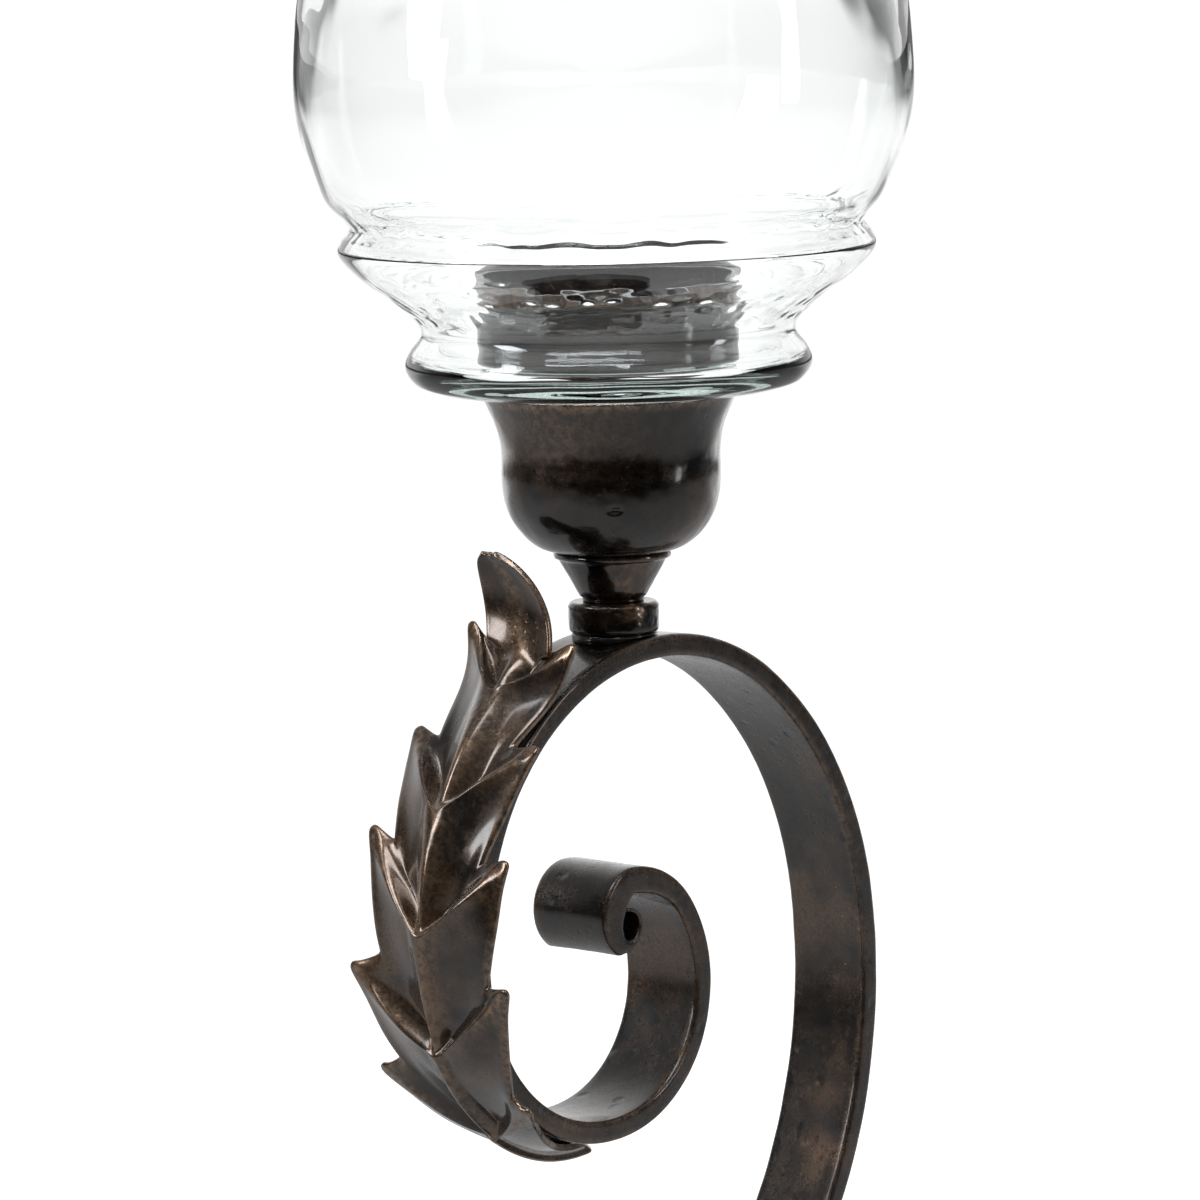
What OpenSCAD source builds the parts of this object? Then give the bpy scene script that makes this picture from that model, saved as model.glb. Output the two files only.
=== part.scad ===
// Pillar candle holder: a forged S-scroll on a round foot, with an acanthus
// leaf on its upper loop, a bell cup, a blown glass shade and a candle pan.
// Millimetres, +Z up. The candle's axis is the Z axis, the foot stands on
// z = 0, and the scroll lies in the XZ plane with its flat width along Y.

/* [Scroll bar] */
// Width of the flat bar
bar_w = 31.75; // [26:0.25:38]
// Thickness of the flat bar
bar_t = 7.3; // [6:0.1:8]
// Outer radius of the upper loop
loop_r = 90.7; // [88:0.1:94]
// How far the loop's centre stands off the candle's axis
loop_offset = 6.9; // [4:0.1:9]
// Outer radius of the tight roll at each end of the bar
roll_r = 15; // [14.5:0.1:15.5]
// Radius of the small eye inside each roll
eye_r = 3.9; // [3.6:0.1:4.2]

/* [Leaf] */
// Thickness of the leaf's metal
leaf_t = 2.4; // [2:0.1:2.6]
// Half width of the leaf at the tips of its topmost side lobes
lobe_half = 23.5; // [22:0.5:25]
// Half width of the leaf in the notches over its topmost side lobes
notch_half = 15; // [13:0.5:16]
// Height of the midrib over the bar
rib_h = 10; // [8:0.5:12]
// Distance from one side lobe to the next
lobe_pitch = 38; // [37:0.5:39]

/* [Cup and ferrules] */
// Height of the bell cup
cup_h = 51; // [46:0.5:56]
// Radius of the cup's mouth
cup_mouth_r = 41; // [40:0.5:43]
// Radius of the cup's body
cup_body_r = 35.2; // [34:0.2:36]
// Wall thickness of the cup
cup_wall = 2.4; // [2:0.1:3]
// Height of the cone ferrule under the cup
cone_h = 14.4; // [12:0.2:17]
// Radius of the cone's wide end
cone_r = 18.9; // [17:0.1:20]
// Radius of the cone's narrow end
cone_neck_r = 11.2; // [10:0.1:12]
// Height of the round collar on the bar
collar_h = 10; // [8:0.5:12]
// Radius of the collar
collar_r = 14.7; // [14:0.1:15.5]
// Radius of the threaded rod and the bolt
rod_r = 3.95; // [3.5:0.05:4]

/* [Glass shade] */
// Height of the shade above its flat bottom
glass_h = 240; // [230:1:255]
// Widest radius of the globe
globe_r = 98.5; // [96:0.5:101]
// Radius of the foot ring
foot_ring_r = 65; // [63:0.5:67]
// Radius of the ring under the globe
ring_r = 85.5; // [84:0.5:87]
// Radius of the throat under the lip
throat_r = 62; // [60:0.5:65]
// Wall thickness of the glass
glass_wall = 3; // [2.6:0.1:3.4]
// Thickness of the glass floor
floor_t = 6; // [5:0.5:7]

/* [Candle pan] */
// Radius of the pan that takes a 76 mm pillar candle
pan_r = 42; // [40:0.5:44]
// Height of the pan
pan_h = 26; // [22:0.5:30]
// Sheet thickness of the pan
pan_wall = 1.8; // [1.4:0.1:2.4]

/* [Foot] */
// Radius of the round foot
base_r = 100; // [95:1:110]
// Height of the foot's casting up to its boss
base_h = 26; // [24:0.5:30]
// Wall thickness of the foot's casting
base_wall = 6; // [5:0.5:6.5]
// Thickness of the felt pad
felt_t = 2; // [1.5:0.1:2.5]

/* [Hidden] */
$fn = 96;

bronze = [0.16, 0.13, 0.11];
worn_bronze = [0.30, 0.22, 0.16];
steel = [0.62, 0.62, 0.63];

function unit(a) = [cos(a), sin(a)];

// Smooth curve through the points p, with n steps between neighbours.
function blend_point(a, b, c, d, t) = 0.5 * (2 * b + (c - a) * t
    + (2 * a - 5 * b + 4 * c - d) * t * t + (3 * b - a - 3 * c + d) * t * t * t);
function smooth(p, n) = [
    for (i = [0 : len(p) - 2], k = [0 : n - 1])
        blend_point(p[max(i - 1, 0)], p[i], p[i + 1], p[min(i + 2, len(p) - 1)], k / n),
    p[len(p) - 1]
];
function reversed(p) = [for (i = [len(p) - 1 : -1 : 0]) p[i]];

// The bar's centre line is a chain of arcs that share their tangents. Radii
// are those of the outer face. Angles run anticlockwise from +X.
mid = bar_t / 2;
shoulder_r = loop_r * 4 / 3;
back_r = loop_r * 1.81;
shoulder_a = 54;
back_a = 9;
lean_a = -60;
cheek_r = loop_r * 2 / 3;
chin_r = loop_r * 0.506;
curl_r = loop_r * 0.382;
cheek_a = 197;
chin_a = 283;
curl_a = 394;
roll_a = 449;
heel_r = 53.65;
sole_r = 42;
toe_r = 31;
sole_a = 275;
toe_a = 380;
toe_roll_a = 435;

// Centres, measured from the top of the loop at first, as [x, z].
loop_c0 = [loop_offset, -loop_r];
shoulder_c0 = loop_c0 + (loop_r - shoulder_r) * unit(shoulder_a);
back_c0 = shoulder_c0 + (shoulder_r - back_r) * unit(back_a);
lean_start0 = back_c0 + (back_r - mid) * unit(lean_a);
heel_off = heel_r - mid;
lean_len = -(lean_start0[0] + heel_off * cos(lean_a)) / sin(lean_a);
heel_c0 = lean_start0 + lean_len * [sin(lean_a), -cos(lean_a)] + heel_off * unit(lean_a);

// Heights of the stack, from the floor up.
neck_h = 1.6;
weld_t = 0.8;
foot_cone_z = base_h;
foot_neck_z = foot_cone_z + cone_h;
foot_collar_z = foot_neck_z + neck_h;
bar_low_z = foot_collar_z + collar_h + weld_t;
bar_top_z = bar_low_z + heel_r - heel_c0[1];
collar_z = bar_top_z + weld_t;
neck_z = collar_z + collar_h;
cone_z = neck_z + neck_h;
cup_z = cone_z + cone_h;
gasket_t = 1;
gasket_z = cup_z + cup_h;
glass_z = gasket_z + gasket_t;

lift = [0, bar_top_z];
loop_c = loop_c0 + lift;
shoulder_c = shoulder_c0 + lift;
back_c = back_c0 + lift;
heel_c = heel_c0 + lift;
cheek_c = loop_c + (loop_r - cheek_r) * unit(cheek_a);
chin_c = cheek_c + (cheek_r - chin_r) * unit(chin_a);
curl_c = chin_c + (chin_r - curl_r) * unit(curl_a);
roll_c = curl_c + (curl_r - roll_r) * unit(roll_a);
sole_c = heel_c + (heel_r - sole_r) * unit(sole_a);
toe_c = sole_c + (sole_r - toe_r) * unit(toe_a);
toe_roll_c = toe_c + (toe_r - roll_r) * unit(toe_roll_a);

// Turn the local XY plane into the plane of the scroll at a centre [x, z].
module in_scroll(c) {
    translate([c[0], 0, c[1]])
        rotate([90, 0, 0])
            children();
}

// Points of an arc, from its start up to one step short of its end.
arc_step = 5;
function arc(c, r, a0, a1) = let (n = ceil(abs(a1 - a0) / arc_step))
    [for (i = [0 : n - 1]) c + r * unit(a0 + (a1 - a0) * i / n)];

// Closed roll about the origin, from the bar's outer face round to its inner
// one: the bar arrives at the top from the right, and its blunt end at the
// bottom is drawn out into a thin lip that curls up round a small eye.
eye = [-1.7, -4.2];
lip = 1.5;
blunt_a = 238;
blunt_end = [[-2, -12], [1.4, -9.4]];
hollow_x = 4;
roll_in = roll_r - bar_t;
hollow_r = sqrt(roll_in * roll_in + hollow_x * hollow_x);
roll_points = concat(
    arc([0, 0], roll_r, 90, blunt_a),
    [roll_r * unit(blunt_a)],
    blunt_end,
    arc(eye, eye_r + lip, -50, 110),
    arc([hollow_x, 0], hollow_r, 172, 90 + asin(hollow_x / hollow_r)),
    [[0, roll_in]]);
function turned(p, a) = [p[0] * cos(a) - p[1] * sin(a), p[0] * sin(a) + p[1] * cos(a)];
function placed(p, c, end_a) = c + turned(p, end_a - 90);
function roll_end(c, end_a) = [
    for (i = [len(roll_points) - 1 : -1 : 0]) placed(roll_points[i], c, end_a)
];
function inner_points(p) = [for (i = [1 : len(p) - 2]) p[i]];

// One side of the bar from the upper roll down to the lower one. The upper
// arcs use their radius less d, and the lower arcs use it less bar_t - d.
function bar_side(d) = let (e = bar_t - d) concat(
    arc(curl_c, curl_r - d, roll_a, curl_a),
    arc(chin_c, chin_r - d, curl_a, chin_a),
    arc(cheek_c, cheek_r - d, chin_a, cheek_a),
    arc(loop_c, loop_r - d, cheek_a, shoulder_a),
    arc(shoulder_c, shoulder_r - d, shoulder_a, back_a),
    arc(back_c, back_r - d, back_a, lean_a),
    [back_c + (back_r - d) * unit(lean_a)],
    arc(heel_c, heel_r - e, lean_a + 180, sole_a),
    arc(sole_c, sole_r - e, sole_a, toe_a),
    arc(toe_c, toe_r - e, toe_a, toe_roll_a));

module scroll_bar() {
    color(bronze)
        difference() {
            rotate([90, 0, 0])
                linear_extrude(bar_w, center = true)
                    polygon(concat(
                        inner_points(roll_end(roll_c, roll_a)), bar_side(0),
                        roll_end(toe_roll_c, toe_roll_a), reversed(bar_side(bar_t))));
            in_scroll(placed(eye, roll_c, roll_a))
                cylinder(r = eye_r, h = 2 * bar_w, center = true);
            in_scroll(placed(eye, toe_roll_c, toe_roll_a))
                cylinder(r = eye_r, h = 2 * bar_w, center = true);
        }
}

// The leaf lies along a line on the bar's outer face. A place on that line is
// a length from where the loop meets the cheek, positive up towards the tip.
leaf_mean = 5;
leaf_gap = 0.25;
peel_a = 130;
peel_r = 45;
peel_len = (cheek_a - peel_a) * PI / 180 * (loop_r + leaf_mean);
peel_c = loop_c + (loop_r + peel_r) * unit(peel_a);
tip_len = 62;
top_foot = peel_len - 2;
lobe_count = 5;
base_len = top_foot - lobe_pitch * (lobe_count + 0.29);

// Centre, angle and radius on the leaf's line at length l and height h.
function leaf_xz(l, h) =
    l < 0 ? cheek_c + (cheek_r + h) * unit(cheek_a - l / (cheek_r + leaf_mean) * 180 / PI) :
    l < peel_len ? loop_c + (loop_r + h) * unit(cheek_a - l / (loop_r + leaf_mean) * 180 / PI) :
    peel_c + (peel_r - h) * unit(peel_a + 180 + (l - peel_len) / peel_r * 180 / PI);

// A side lobe k counts from its own ridge: s is k there and k + 1 at the next
// ridge. Its tip is just below the notch over it, and points up the bar.
tip_at = 0.06;
function part_of(s) = s - floor(s);
function lobe(f) = f < tip_at ? f / tip_at : 1 - pow((f - tip_at) / (1 - tip_at), 0.8);
wider = 2.8;
function tip_half_at(k) = lobe_half + wider * min(k, 3) - (k > 3 ? wider : 0);
function notch_half_at(k) = notch_half + 0.7 * wider * min(k, 3);
function side_half(s) = notch_half_at(s)
    + (tip_half_at(floor(s)) - notch_half_at(s)) * lobe(part_of(s));
function side_relief(s) = part_of(s) < tip_at / 2 ? -1.6 : 2.2 * (1 - part_of(s));
function side_lead(s) = part_of(s) < tip_at / 2 ? lead - 5 : lead - 5 * part_of(s);

// A row is [foot length, half width, how far its ends lie up the bar, relief,
// midrib height, edge curl, lean].
lobe_steps = [0, tip_at, 0.28, 0.5, 0.74, 0.92];
tip_steps = [0, 0.06, 0.16, 0.3, 0.45, 0.6, 0.8];
tip_half = 14;
tip_lean = 9;
lead = 30;
tip_rows = [
    for (q = tip_steps)
        [top_foot + tip_len * (1 - q), max(1.2, tip_half * pow(sin(90 * min(1, 1.9 * q)), 0.6)),
         0.6 * lead * q, 0, 5 + (rib_h - 5) * q, 3, tip_lean * pow(1 - q, 2.5)]
];
side_rows = [
    for (k = [0 : lobe_count - 1], f = lobe_steps)
        [top_foot - lobe_pitch * (k + f), side_half(k + f), side_lead(k + f),
         side_relief(k + f), rib_h - 1.1 * max(0, k + f - 3), 1.5, 0]
];
base_rows = [
    [base_len + 5, 13, 22, 0, 7.6, 0, 0],
    [base_len, 8, 6, 0, 7, 0, 0]
];
leaf_rows = concat(tip_rows, side_rows, base_rows);
leaf_half_cols = 6;
leaf_cols = 2 * leaf_half_cols + 1;

roof_half = 24;
function roof(u) = 1 - min(1, u);
function leaf_height(row, v) = let (y = abs(row[1] * v), base = leaf_t + leaf_gap)
    base + (row[4] - base) * roof(y / roof_half)
    + row[3] * sin(180 * pow(abs(v), 0.8)) * min(1, y / 6)
    + row[5] * pow(abs(v), 3);
function leaf_point(row, v, drop) = let (
    p = leaf_xz(row[0] + row[2] * abs(v), max(leaf_gap, leaf_height(row, v) - drop)))
    [p[0], row[1] * v + row[6], p[1]];
function leaf_sheet(drop) = [
    for (row = leaf_rows, c = [-leaf_half_cols : leaf_half_cols])
        leaf_point(row, c / leaf_half_cols, drop)
];

module acanthus_leaf() {
    n = len(leaf_rows);
    m = leaf_cols;
    under = n * m;
    cells = [for (i = [0 : n - 2], j = [0 : m - 2]) i * m + j];
    rim = concat(
        [for (j = [0 : m - 1]) j],
        [for (i = [1 : n - 1]) i * m + m - 1],
        [for (j = [m - 2 : -1 : 0]) (n - 1) * m + j],
        [for (i = [n - 2 : -1 : 1]) i * m]);
    color(worn_bronze)
        polyhedron(
            points = concat(leaf_sheet(0), leaf_sheet(leaf_t)),
            faces = concat(
                [for (a = cells) [a, a + 1, a + m]],
                [for (a = cells) [a + 1, a + m + 1, a + m]],
                [for (a = cells) [under + a, under + a + m, under + a + 1]],
                [for (a = cells) [under + a + 1, under + a + m, under + a + m + 1]],
                [for (k = [0 : len(rim) - 1])
                    let (a = rim[k], b = rim[(k + 1) % len(rim)]) [a, under + a, b]],
                [for (k = [0 : len(rim) - 1])
                    let (a = rim[k], b = rim[(k + 1) % len(rim)]) [b, under + a, under + b]]));
}

// Lumps of weld on the bar's outer face, just past the leaf's lower end.
module leaf_welds() {
    lump_r = 3;
    reach = base_len - lump_r - 0.6;
    color(bronze)
        for (i = [-1 : 1]) {
            at = reach - abs(i);
            p = leaf_xz(at, 0);
            out_a = cheek_a - at / (cheek_r + leaf_mean) * 180 / PI;
            translate([p[0], (2 * lump_r + 0.6) * i, p[1]])
                rotate([0, 90 - out_a, 0])
                    rotate_extrude($fn = 32)
                        intersection() {
                            circle(lump_r, $fn = 32);
                            square(lump_r);
                        }
        }
}

// Facets round the bar's own curve where a thin saddle of weld lies on it.
saddle_fn = 360;

// Saddle of weld metal between the bar's top and the collar.
module collar_weld() {
    color(bronze)
        difference() {
            translate([0, 0, collar_z - 5])
                cylinder(r = collar_r - 1.2, h = 5);
            translate([loop_c[0], 0, loop_c[1]])
                rotate([90, 0, 0])
                    cylinder(r = loop_r, h = 2 * bar_w, center = true, $fn = saddle_fn);
        }
}

// Saddle of weld metal between the bar's lowest point and the foot's collar.
module foot_weld() {
    color(bronze)
        difference() {
            translate([0, 0, bar_low_z - weld_t])
                cylinder(r = collar_r - 1.2, h = 5);
            translate([heel_c[0], 0, heel_c[1]])
                rotate([90, 0, 0])
                    cylinder(r = heel_r, h = 2 * bar_w, center = true, $fn = saddle_fn);
        }
}

module rounded_disc(r, h, edge, bore) {
    rotate_extrude()
        difference() {
            union() {
                translate([0, edge])
                    square([r, h - 2 * edge]);
                square([r - edge, h]);
                for (z = [edge, h - edge])
                    translate([r - edge, z])
                        circle(edge, $fn = 32);
            }
            translate([-1, -1])
                square([1 + bore, h + 2]);
        }
}

rod_gap = 0.08;
bore_r = rod_r + rod_gap;

module collar() {
    color(bronze)
        translate([0, 0, collar_z])
            rounded_disc(collar_r, collar_h, 1.5, bore_r);
}

module foot_collar() {
    color(bronze)
        translate([0, 0, foot_collar_z])
            rounded_disc(collar_r, collar_h, 1.5, bore_r);
}

// Cone with a rim band at its wide end, upright from its narrow end.
module cone_body() {
    band_h = 2.4;
    neck_r = cone_neck_r - 1.2;
    rotate_extrude()
        polygon([
            [bore_r, -neck_h], [neck_r, -neck_h], [neck_r, 0], [cone_neck_r, 0.6],
            [cone_r - 1.6, cone_h - band_h], [cone_r, cone_h - band_h + 0.6],
            [cone_r, cone_h - 0.6], [cone_r - 0.6, cone_h], [bore_r, cone_h]
        ]);
}

module cone_ferrule() {
    color(bronze)
        translate([0, 0, cone_z])
            cone_body();
}

module foot_cone() {
    color(bronze)
        translate([0, 0, foot_neck_z])
            mirror([0, 0, 1])
                cone_body();
}

cup_floor = 4;

module bell_cup() {
    outer = smooth([
        [cone_r - 0.4, 0], [24.5, 2.2], [30.2, 7.6], [33.8, 14.5], [cup_body_r, 23],
        [cup_body_r - 0.1, 31], [cup_body_r + 0.5, 36.5], [37, 41.5], [39.2, 46.8],
        [cup_mouth_r - 0.4, cup_h - 1.2], [cup_mouth_r, cup_h - 0.6]
    ], 4);
    inner = smooth([
        [20, cup_floor], [27, 7.6], [31.4, 14.5], [cup_body_r - cup_wall, 23],
        [cup_body_r - cup_wall, 31], [cup_body_r - cup_wall + 0.6, 36.5],
        [34.8, 41.5], [36.8, 46.8], [cup_mouth_r - cup_wall, cup_h]
    ], 4);
    color(bronze)
        translate([0, 0, cup_z])
            rotate_extrude()
                polygon(concat(
                    [[bore_r, 0]], outer, [[cup_mouth_r - 0.6, cup_h]],
                    reversed(inner), [[bore_r, cup_floor]]));
}

washer_t = 1.6;
nut_t = 6.5;
nut_r = 7.5;

module washer(z, r) {
    translate([0, 0, z])
        difference() {
            cylinder(r = r, h = washer_t);
            translate([0, 0, -1])
                cylinder(r = bore_r, h = washer_t + 2);
        }
}

module cup_washer() {
    color(steel)
        washer(cup_z + cup_floor, 9);
}

module cup_nut() {
    color(steel)
        translate([0, 0, cup_z + cup_floor + washer_t])
            difference() {
                cylinder(r = nut_r, h = nut_t, $fn = 6);
                translate([0, 0, -1])
                    cylinder(r = bore_r, h = nut_t + 2);
            }
}

module cup_rod() {
    z0 = collar_z + 0.5;
    z1 = cup_z + cup_floor + washer_t + nut_t + 2.5;
    color(steel)
        translate([0, 0, z0])
            cylinder(r = rod_r, h = z1 - z0);
}

module seat_gasket() {
    color([0.80, 0.82, 0.81])
        translate([0, 0, gasket_z])
            difference() {
                cylinder(r = cup_mouth_r - 1, h = gasket_t);
                translate([0, 0, -1])
                    cylinder(r = 35.5, h = gasket_t + 2);
            }
}

plug_r = 33;
plug_h = 8;

// Outer face of the shade, from the rim of its flat bottom up to the lip.
glass_outer = smooth([
    [54, 0], [61.5, 2.6], [foot_ring_r, 8], [63, 13.6], [59.8, 18.6], [62, 23.5],
    [70.5, 30.5], [79.5, 37.5], [ring_r, 44.5], [84, 49.2], [81.7, 52.4], [84.3, 56],
    [90, 62.5], [94.6, 74], [97.6, 87], [globe_r, 98], [97.9, 112], [96.4, 126],
    [92, 149], [84, 173], [73.5, 195], [65, 212], [throat_r, 224],
    [throat_r + 1.6, 233], [throat_r + 6, glass_h]
], 3);

// Inner face, from the floor up to the lip.
glass_inner = smooth([
    [46, floor_t], [55, 7.6], [59, 11.5], [57.4, 16], [56.6, 20], [60.2, 25.5],
    [68.5, 32.8], [77, 39.5], [81.8, 45.5], [80.8, 49.5], [78.7, 53.6], [81.5, 57.5],
    [87, 64], [91.6, 75], [94.6, 87.5], [globe_r - glass_wall, 98], [94.9, 112],
    [93.4, 126], [89, 148], [81, 171.5], [70.5, 193.5], [62, 211.5],
    [throat_r - glass_wall, 224], [throat_r - 1.4, 234], [throat_r + 3.2, glass_h - 0.4]
], 3);

module glass_shade() {
    color([0.86, 0.92, 0.92, 0.35])
        translate([0, 0, glass_z])
            rotate_extrude()
                polygon(concat(
                    [[0, -plug_h], [plug_r - 1, -plug_h], [plug_r, 1 - plug_h], [plug_r, 0]],
                    glass_outer, reversed(glass_inner), [[0, floor_t]]));
}

pad_t = 1.4;
pan_z = glass_z + floor_t + pad_t;

module candle_pan() {
    lip = 1.4;
    color(bronze)
        translate([0, 0, pan_z])
            rotate_extrude()
                polygon([
                    [0, 0], [pan_r - 3, 0], [pan_r - 1, 1], [pan_r - 0.4, 3],
                    [pan_r - 0.4, pan_h - 3], [pan_r + lip - 0.4, pan_h - 2.4],
                    [pan_r + lip - 0.4, pan_h - 0.6], [pan_r + 0.6, pan_h],
                    [pan_r - pan_wall - 0.2, pan_h], [pan_r - pan_wall - 0.4, pan_h - 1],
                    [pan_r - pan_wall - 0.4, 3.4], [pan_r - pan_wall - 2, pan_wall],
                    [0, pan_wall]
                ]);
}

module pan_pads() {
    color([0.80, 0.82, 0.81])
        for (a = [30, 150, 270])
            rotate([0, 0, a])
                translate([pan_r - 12, 0, glass_z + floor_t])
                    cylinder(r = 5, h = pad_t, $fn = 32);
}

base_z = felt_t;
boss_r = 21;

module foot_casting() {
    outer = smooth([
        [88, 13.5], [82, 14.2], [72, 15.6], [58, 17.4], [44, 19.6], [33, 22], [26, 24.2]
    ], 3);
    inner = smooth([
        [22, 16.5], [33, 15.4], [44, 13.6], [58, 11.4], [72, 9.4], [82, 8.2], [88, 7.2]
    ], 3);
    color(bronze)
        difference() {
            rotate_extrude()
                polygon(concat(
                    [[base_r - 7.5, base_z - 1], [base_r - 2, base_z - 1], [base_r - 0.6, base_z - 0.4],
                     [base_r, base_z + 1], [base_r, base_z + 4], [base_r - 1, base_z + 5.6],
                     [base_r - 3.5, base_z + 6.4], [base_r - 4.5, base_z + 8],
                     [base_r - 6, base_z + 10], [base_r - 8.5, base_z + 11.2]],
                    outer,
                    [[boss_r + 2, 24.8], [boss_r + 0.8, base_h - 0.8], [boss_r, base_h],
                     [0, base_h], [0, base_h - base_wall - 3.5], [18, base_h - base_wall - 3.5]],
                    inner,
                    [[base_r - 8, base_z]]));
            cylinder(r = bore_r, h = base_h + 1);
        }
}

module felt_pad() {
    color([0.08, 0.10, 0.08])
        cylinder(r = base_r - 8.5, h = felt_t);
}

head_t = 5;
bolt_top = foot_collar_z + collar_h - 1;
under_z = base_h - base_wall - 3.5;

module foot_washer() {
    color(steel)
        washer(under_z - washer_t, 11);
}

module foot_bolt() {
    color(steel) {
        translate([0, 0, under_z - washer_t - head_t])
            cylinder(r = nut_r, h = head_t, $fn = 6);
        translate([0, 0, under_z - washer_t])
            cylinder(r = rod_r, h = bolt_top - under_z + washer_t);
    }
}

glass_shade();
candle_pan();
pan_pads();
seat_gasket();
bell_cup();
cup_nut();
cup_washer();
cup_rod();
cone_ferrule();
collar();
collar_weld();
scroll_bar();
acanthus_leaf();
leaf_welds();
foot_weld();
foot_collar();
foot_cone();
foot_casting();
foot_bolt();
foot_washer();
felt_pad();
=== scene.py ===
import math
from functools import lru_cache

import bmesh
import bpy
from mathutils import Matrix, Vector, noise


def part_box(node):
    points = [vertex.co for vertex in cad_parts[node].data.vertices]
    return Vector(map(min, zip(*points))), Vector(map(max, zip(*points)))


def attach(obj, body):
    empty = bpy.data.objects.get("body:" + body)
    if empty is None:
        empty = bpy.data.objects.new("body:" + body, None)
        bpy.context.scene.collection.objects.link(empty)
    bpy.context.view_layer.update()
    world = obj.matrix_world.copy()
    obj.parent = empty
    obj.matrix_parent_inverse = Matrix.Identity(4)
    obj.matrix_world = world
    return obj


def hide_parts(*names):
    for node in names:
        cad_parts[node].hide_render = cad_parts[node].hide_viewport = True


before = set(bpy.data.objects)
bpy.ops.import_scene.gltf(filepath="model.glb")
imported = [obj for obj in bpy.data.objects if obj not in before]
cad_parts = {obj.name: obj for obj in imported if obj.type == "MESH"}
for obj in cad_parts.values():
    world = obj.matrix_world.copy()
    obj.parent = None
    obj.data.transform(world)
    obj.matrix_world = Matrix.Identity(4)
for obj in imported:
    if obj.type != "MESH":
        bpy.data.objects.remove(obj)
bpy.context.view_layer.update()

MM = 0.001
TAU = 2 * math.pi


@lru_cache(None)
def low(node):
    return Vector(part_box(node)[0]) / MM


@lru_cache(None)
def high(node):
    return Vector(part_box(node)[1]) / MM


# ---- helpers

def unit(deg):
    return Vector((math.cos(math.radians(deg)), math.sin(math.radians(deg))))


def lerp(a, b, t):
    return a + (b - a) * t


def clamp(v, a=0.0, b=1.0):
    return max(a, min(b, v))


def ramp(a, b, v):
    t = clamp((v - a) / (b - a))
    return t * t * (3 - 2 * t)


def smooth(points, n):
    """Catmull-Rom curve through the points, n steps between neighbours."""
    p = [Vector(q) for q in points]
    out = []
    for i in range(len(p) - 1):
        a, b, c, d = p[max(i - 1, 0)], p[i], p[i + 1], p[min(i + 2, len(p) - 1)]
        for k in range(n):
            t = k / n
            out.append(0.5 * (2 * b + (c - a) * t + (2 * a - 5 * b + 4 * c - d) * t * t
                              + (3 * b - a - 3 * c + d) * t ** 3))
    return out + [p[-1]]


def along(table, x):
    """Value at x on a broken line given as (x, value) pairs in rising x."""
    for (x0, v0), (x1, v1) in zip(table, table[1:]):
        if x <= x1:
            return lerp(v0, v1, clamp((x - x0) / (x1 - x0)))
    return table[-1][1]


def spot(r, z, a):
    """The place at radius r, height z and angle a round the axis."""
    return r * math.cos(a), r * math.sin(a), z


def grain(p, size, seed=0.0):
    """Smooth noise from about -1 to 1 whose features are size across."""
    return noise.noise(Vector(p) / size + Vector((seed, seed * 1.7, -seed)))


def add(name, data):
    """A new object in the scene."""
    obj = bpy.data.objects.new(name, data)
    bpy.context.scene.collection.objects.link(obj)
    return obj


def piece(name, verts, faces, body, material, nodes, uv=None, wear_and_sheen=None):
    """A mesh piece. verts are in millimetres; uv and the copper mask are per vertex. The mask
    is paint lost at edges and, on the cup, cone and collar, painted highlights.
    """
    mesh = bpy.data.meshes.new(name)
    mesh.from_pydata([Vector(v) * MM for v in verts], [], faces)
    if uv:
        layer = mesh.uv_layers.new(name="UVMap")
        for loop in mesh.loops:
            layer.data[loop.index].uv = uv[loop.vertex_index]
    if wear_and_sheen:
        mesh.attributes.new("wear_and_sheen", "FLOAT", "POINT").data.foreach_set("value", wear_and_sheen)
    bm = bmesh.new()
    bm.from_mesh(mesh)
    bmesh.ops.recalc_face_normals(bm, faces=bm.faces)
    bm.to_mesh(mesh)
    bm.free()
    mesh.shade_smooth()
    mesh.materials.append(material)
    obj = add(name, mesh)
    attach(obj, body)
    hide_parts(*nodes)
    return obj


def lathe_mesh(profile, segments, form=None):
    """Vertices, faces and uv of a turned shape. profile is (r, z) from one end
    of the axis to the other, or a closed ring if neither end is on the axis.
    form(r, z, angle) gives the real (r, z) there."""
    verts, uv, rings = [], [], []
    run = 0.0
    for i, (r, z) in enumerate(profile):
        if i:
            run += math.hypot(r - profile[i - 1][0], z - profile[i - 1][1])
        if r < 1e-6:
            rings.append([len(verts)])
            verts.append((0.0, 0.0, z))
            uv.append((0.5, run * MM * 4))
            continue
        ring = []
        for k in range(segments):
            a = TAU * k / segments
            rr, zz = form(r, z, a) if form else (r, z)
            ring.append(len(verts))
            verts.append(spot(rr, zz, a))
            uv.append((k / segments, run * MM * 4))
        rings.append(ring)
    pairs = list(zip(rings, rings[1:]))
    if len(rings[0]) > 1 and len(rings[-1]) > 1:
        pairs.append((rings[-1], rings[0]))
    faces = []
    for lo, hi in pairs:
        for k in range(segments):
            n = (k + 1) % segments
            if len(lo) == 1:
                faces.append((lo[0], hi[n], hi[k]))
            elif len(hi) == 1:
                faces.append((lo[k], lo[n], hi[0]))
            else:
                faces.append((lo[k], lo[n], hi[n], hi[k]))
    return verts, faces, uv


def fine(profile, step):
    """The same broken line with points at most step apart."""
    out = [Vector(profile[0])]
    for q in profile[1:]:
        q = Vector(q)
        n = max(1, math.ceil((q - out[-1]).length / step))
        start = out[-1].copy()
        out += [start.lerp(q, k / n) for k in range(1, n + 1)]
    return out


def arc_pts(c, r, a0, a1, n):
    """n + 1 points on an arc from angle a0 to angle a1, in degrees."""
    return [Vector(c) + r * unit(lerp(a0, a1, k / n)) for k in range(n + 1)]


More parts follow.
